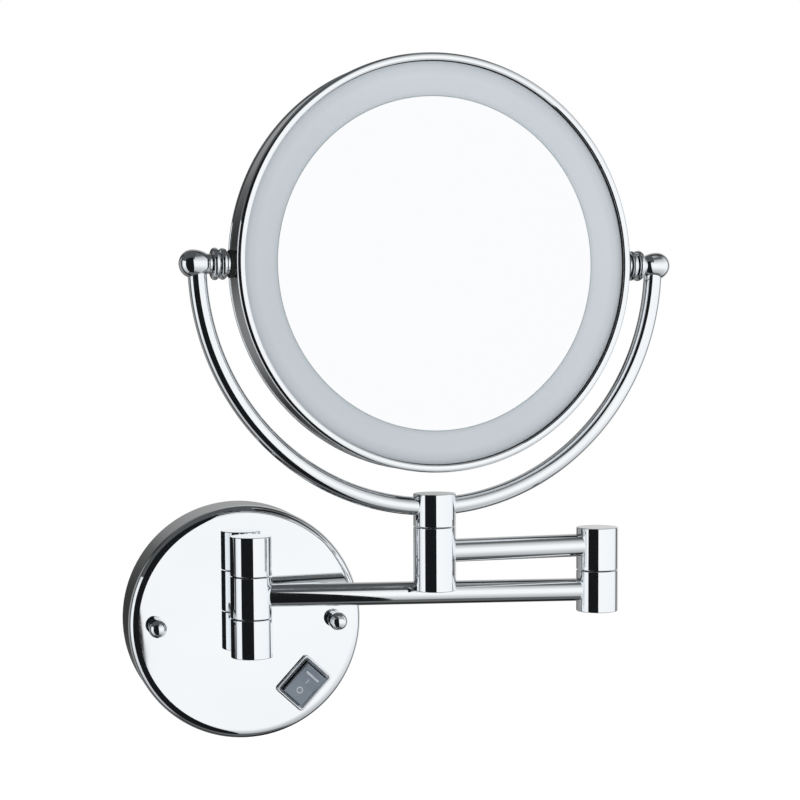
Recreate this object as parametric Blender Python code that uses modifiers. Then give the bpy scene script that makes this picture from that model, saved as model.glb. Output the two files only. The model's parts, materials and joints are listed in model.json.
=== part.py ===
"""Extendable shaving mirror: a lit, double-sided round mirror on a two-link folding wall arm.

Frame: metres, +Z up, the wall is the plane y = 0 and the mirror stands out towards -Y.
The origin is the centre of the wall bracket's back face.

Four empties carry the moving pieces, and each stands on its joint's axis:
hinge_axis (lower arm), elbow_axis (upper arm), post_axis (yoke) and tilt_axis (mirror head).
switch_axis carries the rocker of the light switch.
"""

from math import asin, cos, pi, radians, sin, sqrt

import bmesh
import bpy

MM = 0.001

# Clearances
GAP = 0.3 * MM              # between two pieces that rest on each other
SEAM = 0.4 * MM             # between two barrels that turn on each other
PIVOT_SEAM = 0.6 * MM       # between the head's boss and the yoke's disc
FOLD_GAP = 0.4 * MM         # between the post and the lower arm when the arm is folded
OVERCUT = 1.0 * MM          # how far a cutter runs past the face it opens

# Wall unit, heights measured out from the wall
COVER_R = 62.5 * MM
COVER_DEPTH = 32.3 * MM
COVER_WALL = 1.2 * MM
COVER_EDGE_R = 5.0 * MM
BRACKET_MARGIN = 4.8 * MM   # from the bracket's rim to the cover's inside
BRACKET_T = 2.0 * MM
STUD_INSET = 8.4 * MM       # from the bracket's rim to each stud's axis
STUD_R = 2.0 * MM
STUD_STAND_OUT = 6.5 * MM   # of the thread beyond the cover's face
STUD_COLLAR_R = 4.0 * MM
STUD_COLLAR_T = 2.0 * MM
CAP_NUT_R = 4.9 * MM
CAP_NUT_WAIST_R = 4.2 * MM
CAP_NUT_HEIGHT = 11.5 * MM
CAP_NUT_BASE_T = 3.0 * MM
CABLE_HOLE_X = -16.0 * MM
CABLE_HOLE_Z = 20.0 * MM
CABLE_HOLE_R = 7.0 * MM
CABLE_R = 3.6 * MM
GROMMET_FLANGE = 1.8 * MM
SCREW_HOLE_INSET = 18.5 * MM    # from the bracket's rim to each wall screw's hole
SCREW_HOLE_R = 2.4 * MM

# Barrels of the hinge, the elbow and the post
BARREL_R = 11.0 * MM
BARREL_CHAMFER = 0.5 * MM
BARREL_END_WALL = 3.6 * MM
HINGE_LOWER_H = 20.4 * MM
ARM_BARREL_H = 21.8 * MM
HINGE_UPPER_H = 20.6 * MM
ELBOW_UPPER_H = 22.4 * MM
POST_H = 33.0 * MM
YOKE_BARREL_H = 16.9 * MM
ARM_BARREL_BOTTOM_Z = 5.1 * MM
PIN_R = 4.0 * MM

# Washers, caps and screw heads, which leave this much of the barrel's wall
WASHER_WALL = 3.0 * MM
WASHER_T = 0.9 * MM
CAP_WALL = 4.0 * MM
CAP_T = 1.6 * MM
SCREW_HEAD_WALL = 4.4 * MM
SCREW_HEAD_T = 4.0 * MM
HEX_SOCKET_R = 2.5 * MM
HEX_SOCKET_DEPTH = 2.0 * MM

# Stubs that hold the hinge's fixed barrels off the cover
STUB_REACH = 3.9 * MM       # from the cover's face to the barrels
STUB_R = 5.0 * MM
STUB_FLANGE_R = 7.0 * MM
STUB_FLANGE_T = 1.2 * MM
STUB_THREAD_R = 3.0 * MM
STUB_SOCKET = 3.6 * MM      # how deep the stubs sit in the barrels
THREAD_PAST_NUT = 1.5 * MM
NUT_R = 5.6 * MM
NUT_T = 3.2 * MM
HINGE_PLATE_W = 26.0 * MM
HINGE_PLATE_MARGIN = 9.0 * MM
HINGE_PLATE_T = 2.0 * MM

# Arms
LOWER_ARM_LENGTH = 183.5 * MM
UPPER_ARM_LENGTH = 91.0 * MM
ARM_TUBE_R = 6.0 * MM
ARM_TUBE_WALL = 1.0 * MM
ARM_SOCKET = 3.2 * MM       # how deep the tubes sit in the barrels
LOWER_TUBE_RISE = 0.5 * MM  # above the middle of the barrel it starts from
UPPER_TUBE_RISE = 1.9 * MM
POST_BELOW_TUBE = 20.3 * MM

# Resting pose
SWING = radians(7.6)        # lower arm away from the wall
HEADING = radians(4.8)      # mirror's turn about the post, seen from above
TILT = radians(0.5)         # mirror's face turned up

# Yoke
YOKE_TUBE_R = 4.7 * MM
YOKE_TUBE_WALL = 1.0 * MM
YOKE_TUBE_UP = 10.2 * MM    # hoop's lowest point above the yoke barrel's underside
YOKE_SOCKET = 3.0 * MM
FINIAL_R = 7.0 * MM
FINIAL_WAIST_R = 6.0 * MM
FINIAL_WAIST_L = 4.3 * MM   # of the taper between the finial's neck and its full radius
FINIAL_DOME_L = 6.9 * MM
FINIAL_INNER = 6.9 * MM     # from the yoke tube's axis towards the mirror
FINIAL_OUTER = 9.1 * MM     # from the yoke tube's axis outwards
PIVOT_R = 2.5 * MM
PIVOT_DEPTH = 3.5 * MM      # pivot bore in the finial, past the yoke tube's axis
DISC_R = 8.0 * MM
DISC_T = 3.4 * MM
DISC_EDGE_R = 1.0 * MM
BOSS_FLANGE_R = 7.8 * MM
BOSS_FLANGE_T = 3.3 * MM
BOSS_NECK_R = 5.5 * MM
BOSS_NECK_L = 3.5 * MM

# Mirror head, heights measured towards the front from the tilt axis
BAND_R = 105.4 * MM
BAND_WALL = 1.0 * MM
RIM_PROUD = 0.6 * MM        # of the rims beyond the band
BEAD_DEPTH = 3.0 * MM
LIP_REACH = 3.1 * MM        # of the rims' lips over the panels
LIP_T = 0.6 * MM
SKIRT_DEPTH = 1.8 * MM
SKIRT_WALL = 0.6 * MM
RING_W = 18.8 * MM          # lit ring around the front glass
GLASS_T = 3.0 * MM
GLASS_EDGE = 0.6 * MM
GLASS_RECESS = 3.6 * MM     # glass face behind the rim's plane
DIFFUSER_T = 2.4 * MM
DIFFUSER_RECESS = 1.0 * MM  # ring's outer edge behind the rim's plane
TRAY_T = 1.5 * MM
TRAY_ROOM = 0.9 * MM        # between the tray and the back of the rear glass
TRAY_HUB_INSET = 14.4 * MM  # from the front glass's edge to the tray's hub
TRAY_HUB_WALL = 2.0 * MM
NOTCH_MARGIN = 2.5 * MM     # between the tray's notches and the pivot screws' ends
LED_BOARD_T = 1.0 * MM
LED_BOARD_W = 8.0 * MM
LED_BOARD_MARGIN = 3.5 * MM     # between the board and the pivot screws' ends
LED_COUNT = 24
LED_SIZE = 3.5 * MM
LED_T = 1.2 * MM
REAR_GLASS_T = 2.0 * MM
REAR_GLASS_DISH = 4.4 * MM  # depth of the magnifying face at its middle
SPIGOT_R = 4.4 * MM
SPIGOT_LENGTH = 1.4 * MM
PIVOT_NUT_R = 4.8 * MM
PIVOT_NUT_T = 4.0 * MM
PIVOT_NUT_INSET = 2.9 * MM  # from the band's outside to the nut

# Light switch
SWITCH_INSET = 17.5 * MM    # from the cover's edge to the switch's middle
SWITCH_BEARING = radians(-47.9)
SWITCH_TURN = radians(47)
SWITCH_WINDOW_L = 19.8 * MM
SWITCH_WINDOW_W = 14.2 * MM
SWITCH_FRAME_RIM = 2.6 * MM
SWITCH_FRAME_T = 1.6 * MM
SWITCH_FRAME_BEVEL = 0.5 * MM
SWITCH_BODY_DEPTH = 15.0 * MM
SWITCH_WELL_DEPTH = 6.5 * MM
SWITCH_BODY_WALL = 1.0 * MM
ROCKER_GAP = 1.2 * MM       # around the key
ROCKER_END_H = 4.0 * MM     # the key's ends above the pivot
ROCKER_MIDDLE_H = 2.9 * MM
ROCKER_SKIRT = 1.2 * MM
ROCKER_HUB_R = 1.6 * MM
ROCKER_TILT = radians(5)    # each way from level

# Light driver and terminals, on the bracket
DRIVER_INSET = 28.4 * MM    # from the cover's edge to the driver's middle
DRIVER_BEARING = radians(-126.5)
DRIVER_L = 38.0 * MM
DRIVER_W = 20.0 * MM
DRIVER_H = 15.0 * MM
DRIVER_WALL = 1.2 * MM
BOARD_T = 1.6 * MM
TERMINAL_INSET = 23.2 * MM
TERMINAL_BEARING = radians(55.5)
TERMINAL_L = 24.0 * MM
TERMINAL_W = 10.0 * MM
TERMINAL_H = 11.0 * MM
TERMINAL_WAYS = 3
TERMINAL_HOLE_R = 1.7 * MM
TERMINAL_HOLE_DEPTH = 6.0 * MM

# Facets
LARGE_STEPS = 48
SMALL_STEPS = 20
TINY_STEPS = 12
HEXAGON = 6
ROUNDING_STEPS = 3
EDGE_STEPS = 2
ARC_STEPS = 14
DISH_STEPS = 3

# Wall unit's places
COVER_INSIDE = COVER_DEPTH - COVER_WALL
BRACKET_R = COVER_R - COVER_WALL - BRACKET_MARGIN
STUD_SPREAD = BRACKET_R - STUD_INSET
PIN_BORE_R = PIN_R + GAP
SWITCH_FRAME_L = SWITCH_WINDOW_L + 2 * SWITCH_FRAME_RIM
SWITCH_FRAME_W = SWITCH_WINDOW_W + 2 * SWITCH_FRAME_RIM
SWITCH_BODY_L = SWITCH_WINDOW_L + 2 * SWITCH_BODY_WALL
SWITCH_BODY_W = SWITCH_WINDOW_W + 2 * SWITCH_BODY_WALL

# Barrels' levels, from the lowest to the highest
HINGE_Y = -(COVER_DEPTH + STUB_REACH + BARREL_R)
HINGE_LOWER_TOP_Z = ARM_BARREL_BOTTOM_Z - SEAM
HINGE_BOTTOM_Z = HINGE_LOWER_TOP_Z - HINGE_LOWER_H
ARM_BARREL_TOP_Z = ARM_BARREL_BOTTOM_Z + ARM_BARREL_H
UPPER_BARREL_BOTTOM_Z = ARM_BARREL_TOP_Z + SEAM
HINGE_TOP_Z = UPPER_BARREL_BOTTOM_Z + HINGE_UPPER_H
ELBOW_TOP_Z = UPPER_BARREL_BOTTOM_Z + ELBOW_UPPER_H
LOWER_TUBE_Z = (ARM_BARREL_BOTTOM_Z + ARM_BARREL_TOP_Z) / 2 + LOWER_TUBE_RISE
UPPER_TUBE_Z = (UPPER_BARREL_BOTTOM_Z + ELBOW_TOP_Z) / 2 + UPPER_TUBE_RISE
POST_BOTTOM_Z = UPPER_TUBE_Z - POST_BELOW_TUBE
POST_TOP_Z = POST_BOTTOM_Z + POST_H
YOKE_BARREL_BOTTOM_Z = POST_TOP_Z + SEAM
YOKE_BARREL_TOP_Z = YOKE_BARREL_BOTTOM_Z + YOKE_BARREL_H
WASHER_R = BARREL_R - WASHER_WALL
WASHER_RECESS = WASHER_T + GAP
CAP_R = BARREL_R - CAP_WALL
SCREW_HEAD_R = BARREL_R - SCREW_HEAD_WALL
FOLD = asin((BARREL_R + ARM_TUBE_R + FOLD_GAP) / UPPER_ARM_LENGTH)

# Along the tilt axis, from the band out to the finial
BOSS_SEAT = BAND_R + GAP
BOSS_OUT = BOSS_SEAT + BOSS_NECK_L + BOSS_FLANGE_T
DISC_IN = BOSS_OUT + PIVOT_SEAM
DISC_OUT = DISC_IN + DISC_T
FINIAL_NEAR = DISC_OUT + GAP
YOKE_R = FINIAL_NEAR + FINIAL_INNER
PIVOT_BORE_R = PIVOT_R + GAP
PIVOT_NUT_OUT = BAND_R - PIVOT_NUT_INSET
PIVOT_NUT_IN = PIVOT_NUT_OUT - PIVOT_NUT_T
PIVOT_SCREW_IN = PIVOT_NUT_IN - OVERCUT
HEAD_Z = YOKE_BARREL_BOTTOM_Z + YOKE_TUBE_UP + YOKE_R

# Mirror head's radii, from the rim inwards, and its depth
RIM_R = BAND_R + RIM_PROUD
BEAD_LIP_R = RIM_R - LIP_REACH
SKIRT_OUT_R = BAND_R - BAND_WALL - GAP
SKIRT_IN_R = SKIRT_OUT_R - SKIRT_WALL
PANEL_R = SKIRT_IN_R - GAP
GLASS_R = PANEL_R - RING_W
LED_BOARD_OUT_R = PIVOT_SCREW_IN - LED_BOARD_MARGIN
LED_BOARD_IN_R = LED_BOARD_OUT_R - LED_BOARD_W
TRAY_HUB_R = GLASS_R - TRAY_HUB_INSET
HEAD_HALF_DEPTH = TRAY_T + TRAY_ROOM + REAR_GLASS_T + REAR_GLASS_DISH + 2 * GAP + LIP_T
BAND_HALF = HEAD_HALF_DEPTH - BEAD_DEPTH - GAP
GLASS_FRONT = HEAD_HALF_DEPTH - GLASS_RECESS


def start_scene():
    """Empty the scene and make the collections for the parts and their cutters."""
    for old in list(bpy.data.objects):
        bpy.data.objects.remove(old)
    parts = bpy.data.collections.new("shaving_mirror")
    cutters = bpy.data.collections.new("cutters")
    bpy.context.scene.collection.children.link(parts)
    bpy.context.scene.collection.children.link(cutters)
    return parts, cutters


PARTS, CUTTERS = start_scene()


def finish(name, colour, metallic, roughness):
    """A plain surface finish."""
    material = bpy.data.materials.new(name)
    material.use_nodes = True
    shader = material.node_tree.nodes["Principled BSDF"]
    shader.inputs["Base Color"].default_value = (*colour, 1.0)
    shader.inputs["Metallic"].default_value = metallic
    shader.inputs["Roughness"].default_value = roughness
    return material


CHROME = finish("chrome", (0.86, 0.87, 0.88), 1.0, 0.04)
STEEL = finish("steel", (0.55, 0.55, 0.56), 1.0, 0.35)
ZINC = finish("zinc_plate", (0.62, 0.63, 0.62), 1.0, 0.45)
SILVERED = finish("silvered_glass", (0.93, 0.94, 0.94), 1.0, 0.01)
FROSTED = finish("frosted_acrylic", (0.70, 0.75, 0.78), 0.0, 0.45)
WHITE_PLASTIC = finish("white_plastic", (0.80, 0.80, 0.78), 0.0, 0.5)
BLACK_PLASTIC = finish("black_plastic", (0.03, 0.03, 0.035), 0.0, 0.45)
KEY_PLASTIC = finish("key_plastic", (0.30, 0.34, 0.38), 0.0, 0.3)
NYLON = finish("nylon", (0.75, 0.74, 0.70), 0.0, 0.5)
RUBBER = finish("rubber", (0.05, 0.05, 0.05), 0.0, 0.8)
CIRCUIT = finish("circuit_board", (0.05, 0.22, 0.10), 0.0, 0.5)


def axis_empty(name, location, rotation=(0, 0, 0), parent=None):
    """An empty that stands on a joint's axis and carries what turns there."""
    empty = bpy.data.objects.new(name, None)
    empty.location = location
    empty.rotation_euler = rotation
    empty.parent = parent
    PARTS.objects.link(empty)
    return empty


def place(obj, location, rotation, parent, material):
    """Put an object where it belongs and give it its finish."""
    obj.location = location
    obj.rotation_euler = rotation
    obj.parent = parent
    obj.data.materials.clear()
    obj.data.materials.append(material)
    return obj


def as_cutter(obj):
    """Move an object to the cutters, where it only shapes other pieces."""
    for home in list(obj.users_collection):
        home.objects.unlink(obj)
    CUTTERS.objects.link(obj)
    obj.hide_render = True
    obj.display_type = "WIRE"
    return obj


def cut(target, cutter, operation="DIFFERENCE"):
    """Cut one object by another, or join them with UNION."""
    as_cutter(cutter)
    boolean = target.modifiers.new(operation.lower(), "BOOLEAN")
    boolean.operation = operation
    boolean.solver = "EXACT"
    boolean.object = cutter


def turned(name, outline, steps=SMALL_STEPS, closed=False):
    """A piece turned about its own Z from (radius, height) points, outer side from top to bottom.

    The outline starts half a facet off +X, so that flats and not corners face the neighbours.
    """
    mesh = bpy.data.meshes.new(name)
    start = pi / steps
    points = [(radius * cos(start), radius * sin(start), height) for radius, height in outline]
    edges = [(i, i + 1) for i in range(len(points) - 1)]
    if closed:
        edges.append((len(points) - 1, 0))
    mesh.from_pydata(points, edges, [])
    obj = bpy.data.objects.new(name, mesh)
    PARTS.objects.link(obj)
    screw = obj.modifiers.new("turn", "SCREW")
    screw.axis = "Z"
    screw.angle = 2 * pi
    screw.steps = steps
    screw.render_steps = steps
    screw.use_merge_vertices = True
    screw.merge_threshold = 0.00001
    screw.use_smooth_shade = True
    return obj


def rod(name, radius, low, high, steps=SMALL_STEPS):
    """A solid round bar along Z."""
    return turned(name, [(0, high), (radius, high), (radius, low), (0, low)], steps)


def chamfered_rod(name, radius, low, high, chamfer):
    """A solid round bar along Z with both ends chamfered."""
    outline = [
        (0, high), (radius - chamfer, high), (radius, high - chamfer),
        (radius, low + chamfer), (radius - chamfer, low), (0, low),
    ]
    return turned(name, outline)


def ring(name, inner, outer, low, high, steps=SMALL_STEPS):
    """A plain ring along Z."""
    outline = [(inner, high), (outer, high), (outer, low), (inner, low)]
    return turned(name, outline, steps, closed=True)


def quarter(centre_r, centre_h, radius, start, end, steps=ROUNDING_STEPS):
    """Outline points on an arc, angles in degrees from the outward direction."""
    angles = [radians(start + (end - start) * i / steps) for i in range(steps + 1)]
    return [(centre_r + radius * cos(a), centre_h + radius * sin(a)) for a in angles]


def box(name, length, width, low, high):
    """A box centred on Z, with its sizes applied to its mesh."""
    mesh = bpy.data.meshes.new(name)
    shape = bmesh.new()
    bmesh.ops.create_cube(shape, size=1)
    bmesh.ops.scale(shape, vec=(length, width, high - low), verts=shape.verts)
    bmesh.ops.translate(shape, vec=(0, 0, (low + high) / 2), verts=shape.verts)
    shape.to_mesh(mesh)
    shape.free()
    obj = bpy.data.objects.new(name, mesh)
    PARTS.objects.link(obj)
    return obj


def swept(name, points, radius, sides_resolution=2):
    """A round bar along a list of points, as a closed mesh with welded caps."""
    curve = bpy.data.curves.new(name + "_path", "CURVE")
    curve.dimensions = "3D"
    curve.bevel_depth = radius
    curve.bevel_resolution = sides_resolution
    curve.use_fill_caps = True
    spline = curve.splines.new("POLY")
    spline.points.add(len(points) - 1)
    for point, place_at in zip(spline.points, points):
        point.co = (*place_at, 1)
    guide = bpy.data.objects.new(name + "_guide", curve)
    bpy.context.scene.collection.objects.link(guide)
    bpy.context.view_layer.update()
    evaluated = guide.evaluated_get(bpy.context.evaluated_depsgraph_get())
    mesh = bpy.data.meshes.new_from_object(evaluated)
    shape = bmesh.new()
    shape.from_mesh(mesh)
    bmesh.ops.remove_doubles(shape, verts=shape.verts, dist=0.000001)
    shape.to_mesh(mesh)
    shape.free()
    mesh.shade_smooth()
    obj = bpy.data.objects.new(name, mesh)
    obj.matrix_world = guide.matrix_world
    bpy.data.objects.remove(guide)
    PARTS.objects.link(obj)
    return obj


OUT_OF_WALL = (radians(90), 0, 0)       # local Z points away from the wall, or to the mirror's front
TO_BACK = (radians(-90), 0, 0)
TO_RIGHT = (0, radians(90), 0)
TO_LEFT = (0, radians(-90), 0)
HERE = (0, 0, 0)


# ---------------------------------------------------------------- wall unit

def wall_bracket():
    """Round steel plate that is screwed to the wall and carries the studs."""
    plate = rod("wall_bracket", BRACKET_R, 0, BRACKET_T, LARGE_STEPS)
    place(plate, HERE, OUT_OF_WALL, None, ZINC)
    holes = [(CABLE_HOLE_X, CABLE_HOLE_Z, CABLE_HOLE_R)]
    holes += [(0, side * (BRACKET_R - SCREW_HOLE_INSET), SCREW_HOLE_R) for side in (-1, 1)]
    for index, (x, z, radius) in enumerate(holes):
        hole = rod(f"bracket_hole_{index}", radius, -OVERCUT, BRACKET_T + OVERCUT, TINY_STEPS)
        place(hole, (x, 0, z), OUT_OF_WALL, None, ZINC)
        cut(plate, hole)


def cable_grommet():
    """Rubber sleeve with a flange that lines the bracket's cable hole."""
    sleeve_r = CABLE_HOLE_R - GAP
    flange_r = CABLE_HOLE_R + GROMMET_FLANGE
    seat = BRACKET_T + GAP
    outline = [
        (CABLE_R, seat + GROMMET_FLANGE), (flange_r, seat + GROMMET_FLANGE),
        (flange_r, seat), (sleeve_r, seat), (sleeve_r, GAP), (CABLE_R, GAP),
    ]
    grommet = turned("cable_grommet", outline, SMALL_STEPS, closed=True)
    place(grommet, (CABLE_HOLE_X, 0, CABLE_HOLE_Z), OUT_OF_WALL, None, RUBBER)


def stud(side_name, side):
    """Threaded stud with a collar, standing on the bracket."""
    seat = BRACKET_T + GAP
    top = COVER_DEPTH + STUD_STAND_OUT
    outline = [
        (0, top), (STUD_R, top), (STUD_R, seat + STUD_COLLAR_T),
        (STUD_COLLAR_R, seat + STUD_COLLAR_T), (STUD_COLLAR_R, seat), (0, seat),
    ]
    piece = turned(f"stud_{side_name}", outline, TINY_STEPS)
    place(piece, (side * STUD_SPREAD, 0, 0), OUT_OF_WALL, None, STEEL)


def cap_nut(side_name, side):
    """Domed cap nut that holds the cover on its stud."""
    seat = COVER_DEPTH + GAP
    base_top = seat + CAP_NUT_BASE_T
    dome_centre = seat + CAP_NUT_HEIGHT - CAP_NUT_R
    bore_r = STUD_R + GAP
    bore_top = COVER_DEPTH + STUD_STAND_OUT + GAP
    outline = quarter(0, dome_centre, CAP_NUT_R, 90, -25, 2 * ROUNDING_STEPS)
    outline += [
        (CAP_NUT_WAIST_R, base_top), (CAP_NUT_WAIST_R, seat), (bore_r, seat),
        (bore_r, bore_top), (0, bore_top),
    ]
    nut = turned(f"cap_nut_{side_name}", outline, SMALL_STEPS)
    place(nut, (side * STUD_SPREAD, 0, 0), OUT_OF_WALL, None, CHROME)


def wall_cover():
    """Round pressed casing with a rounded front edge, open at the back."""
    inner_r = COVER_R - COVER_WALL
    inner_edge_r = COVER_EDGE_R - COVER_WALL
    edge_h = COVER_DEPTH - COVER_EDGE_R
    outline = [(0, COVER_DEPTH)]
    outline += quarter(COVER_R - COVER_EDGE_R, edge_h, COVER_EDGE_R, 90, 0)
    outline += [(COVER_R, GAP), (inner_r, GAP)]
    outline += quarter(COVER_R - COVER_EDGE_R, edge_h, inner_edge_r, 0, 90, EDGE_STEPS)
    outline.append((0, COVER_INSIDE))
    cover = turned("wall_cover", outline, LARGE_STEPS)
    place(cover, HERE, OUT_OF_WALL, None, CHROME)
    low, high = COVER_INSIDE - OVERCUT, COVER_DEPTH + OVERCUT
    for index, side in enumerate((-1, 1)):
        hole = rod(f"cover_stud_hole_{index}", STUD_R + GAP, low, high, TINY_STEPS)
        place(hole, (side * STUD_SPREAD, 0, 0), OUT_OF_WALL, None, CHROME)
        cut(cover, hole)
    for index, height in enumerate(stub_heights()):
        hole = rod(f"cover_stub_hole_{index}", STUB_THREAD_R + GAP, low, high, TINY_STEPS)
        place(hole, (0, 0, height), OUT_OF_WALL, None, CHROME)
        cut(cover, hole)
    window = box("cover_switch_window", SWITCH_BODY_L + 2 * GAP, SWITCH_BODY_W + 2 * GAP,
                 -COVER_WALL - OVERCUT, OVERCUT)
    place(window, HERE, HERE, SWITCH_AXIS, CHROME)
    cut(cover, window)


def stub_heights():
    """Heights of the two stubs: the middles of the two fixed barrels."""
    lower = (HINGE_BOTTOM_Z + HINGE_LOWER_TOP_Z) / 2
    upper = (UPPER_BARREL_BOTTOM_Z + HINGE_TOP_Z) / 2
    return lower, upper


def hinge_stub(side_name, height):
    """Stub that holds a fixed barrel off the cover, with a thread behind the cover's face."""
    tip = COVER_DEPTH + STUB_REACH + STUB_SOCKET - GAP
    seat = COVER_DEPTH + GAP
    thread_end = COVER_INSIDE - HINGE_PLATE_T - 2 * GAP - NUT_T - THREAD_PAST_NUT
    outline = [
        (0, tip), (STUB_R, tip), (STUB_R, seat + STUB_FLANGE_T),
        (STUB_FLANGE_R, seat + STUB_FLANGE_T), (STUB_FLANGE_R, seat),
        (STUB_THREAD_R, seat), (STUB_THREAD_R, thread_end), (0, thread_end),
    ]
    piece = turned(f"hinge_stub_{side_name}", outline)
    place(piece, (0, 0, height), OUT_OF_WALL, None, CHROME)


def hinge_plate():
    """Stiffening plate under the stub nuts, kept inside the flat part of the cover's face."""
    lower, upper = stub_heights()
    high = COVER_INSIDE - GAP
    flat_r = COVER_R - COVER_EDGE_R - GAP
    limit = sqrt(flat_r ** 2 - (HINGE_PLATE_W / 2) ** 2)
    bottom = max(lower - HINGE_PLATE_MARGIN, -limit)
    top = min(upper + HINGE_PLATE_MARGIN, limit)
    plate = box("hinge_plate", HINGE_PLATE_W, top - bottom, high - HINGE_PLATE_T, high)
    place(plate, (0, 0, (bottom + top) / 2), OUT_OF_WALL, None, ZINC)
    for index, height in enumerate((lower, upper)):
        hole = rod(f"plate_stub_hole_{index}", STUB_THREAD_R + GAP,
                   high - HINGE_PLATE_T - OVERCUT, high + OVERCUT, TINY_STEPS)
        place(hole, (0, 0, height), OUT_OF_WALL, None, ZINC)
        cut(plate, hole)


def hinge_nut(side_name, height):
    """Hexagon nut on a stub, behind the stiffening plate."""
    high = COVER_INSIDE - HINGE_PLATE_T - 2 * GAP
    hexagon_nut(f"hinge_nut_{side_name}", NUT_R, STUB_THREAD_R + GAP, high - NUT_T, high,
                (0, 0, height), OUT_OF_WALL, None)


def hexagon_nut(name, radius, bore_r, low, high, location, rotation, parent):
    """A plain hexagon nut along its own Z."""
    nut = rod(name, radius, low, high, HEXAGON)
    bore = rod(name + "_bore", bore_r, low - OVERCUT, high + OVERCUT, TINY_STEPS)
    place(nut, location, rotation, parent, STEEL)
    place(bore, location, rotation, parent, STEEL)
    cut(nut, bore)


def barrel(name, low, high, bore_low, bore_high, parent, recess_top=False, counterbore=0.0):
    """A hinge barrel: a bore from bore_low to bore_high, a washer recess, a wide lower mouth."""
    edge = BARREL_R - BARREL_CHAMFER
    outline = []
    if bore_high >= high:
        if recess_top:
            outline += [(PIN_BORE_R, high - WASHER_RECESS), (WASHER_R + GAP, high - WASHER_RECESS),
                        (WASHER_R + GAP, high)]
        else:
            outline.append((PIN_BORE_R, high))
    else:
        outline.append((0, high))
    outline += [(edge, high), (BARREL_R, high - BARREL_CHAMFER), (BARREL_R, low + BARREL_CHAMFER),
                (edge, low)]
    if bore_low <= low:
        if counterbore:
            outline += [(CAP_R + GAP, low), (CAP_R + GAP, low + counterbore),
                        (PIN_BORE_R, low + counterbore)]
        else:
            outline.append((PIN_BORE_R, low))
        if bore_high < high:
            outline += [(PIN_BORE_R, bore_high), (0, bore_high)]
    else:
        outline.append((0, low))
    through = bore_high >= high and bore_low <= low
    if bore_low > low:
        outline = [(0, bore_low), (PIN_BORE_R, bore_low)] + outline
    piece = turned(name, outline, SMALL_STEPS, closed=through)
    return place(piece, HERE, HERE, parent, CHROME)


def socket(target, radius, height, inner, outer, direction, parent):
    """Cut a blind round socket into a barrel's side, from inner out to outer along a direction."""
    cutter = rod(f"{target.name}_socket", radius + GAP, inner, outer)
    place(cutter, (0, 0, height), direction, parent, CHROME)
    cut(target, cutter)


def wall_hinge():
    """The two fixed barrels of the wall hinge, their stubs, the pin and its cap."""
    lower_z, upper_z = stub_heights()
    far = BARREL_R + OVERCUT
    upper = barrel("hinge_barrel_upper", UPPER_BARREL_BOTTOM_Z, HINGE_TOP_Z,
                   UPPER_BARREL_BOTTOM_Z, HINGE_TOP_Z - BARREL_END_WALL, WALL_HINGE)
    lower = barrel("hinge_barrel_lower", HINGE_BOTTOM_Z, HINGE_LOWER_TOP_Z, HINGE_BOTTOM_Z,
                   HINGE_LOWER_TOP_Z, WALL_HINGE, counterbore=CAP_T + 2 * GAP)
    for piece, height in ((upper, upper_z), (lower, lower_z)):
        socket(piece, STUB_R, height, BARREL_R - STUB_SOCKET, far, TO_BACK, WALL_HINGE)
    pin_low = HINGE_BOTTOM_Z + CAP_T + 3 * GAP
    pin_high = HINGE_TOP_Z - BARREL_END_WALL - GAP
    pin = chamfered_rod("hinge_pin", PIN_R, pin_low, pin_high, BARREL_CHAMFER)
    place(pin, HERE, HERE, WALL_HINGE, STEEL)
    end_cap("hinge_cap", HINGE_BOTTOM_Z, WALL_HINGE)
    for side_name, height in (("lower", lower_z), ("upper", upper_z)):
        hinge_stub(side_name, height)
        hinge_nut(side_name, height)


def end_cap(name, low, parent):
    """Plug that closes a barrel's lower mouth."""
    cap = chamfered_rod(name, CAP_R, low + GAP, low + GAP + CAP_T, GAP)
    place(cap, HERE, HERE, parent, CHROME)


def washer(name, top, parent, upwards=True):
    """Friction washer that lies in a barrel's recess and stands just into the seam."""
    low = top - WASHER_T if upwards else top
    piece = ring(name, PIN_BORE_R, WASHER_R, low, low + WASHER_T)
    place(piece, HERE, HERE, parent, NYLON)


# ---------------------------------------------------------------- light switch

def switch_frame():
    """Bevelled frame around the rocker, on the cover's face."""
    frame = box("switch_frame", SWITCH_FRAME_L, SWITCH_FRAME_W, GAP, GAP + SWITCH_FRAME_T)
    bevel = frame.modifiers.new("edges", "BEVEL")
    bevel.width = SWITCH_FRAME_BEVEL
    bevel.segments = 1
    place(frame, HERE, HERE, SWITCH_AXIS, CHROME)
    window = box("switch_frame_window", SWITCH_WINDOW_L, SWITCH_WINDOW_W,
                 -OVERCUT, SWITCH_FRAME_T + 2 * OVERCUT)
    place(window, HERE, HERE, SWITCH_AXIS, CHROME)
    cut(frame, window)


def switch_body():
    """Moulded switch housing behind the cover's face, with an open well for the rocker."""
    body = box("switch_body", SWITCH_BODY_L, SWITCH_BODY_W, -SWITCH_BODY_DEPTH, 0)
    place(body, HERE, HERE, SWITCH_AXIS, BLACK_PLASTIC)
    well = box("switch_well", SWITCH_WINDOW_L, SWITCH_WINDOW_W, -SWITCH_WELL_DEPTH, OVERCUT)
    place(well, HERE, HERE, SWITCH_AXIS, BLACK_PLASTIC)
    cut(body, well)


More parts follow.
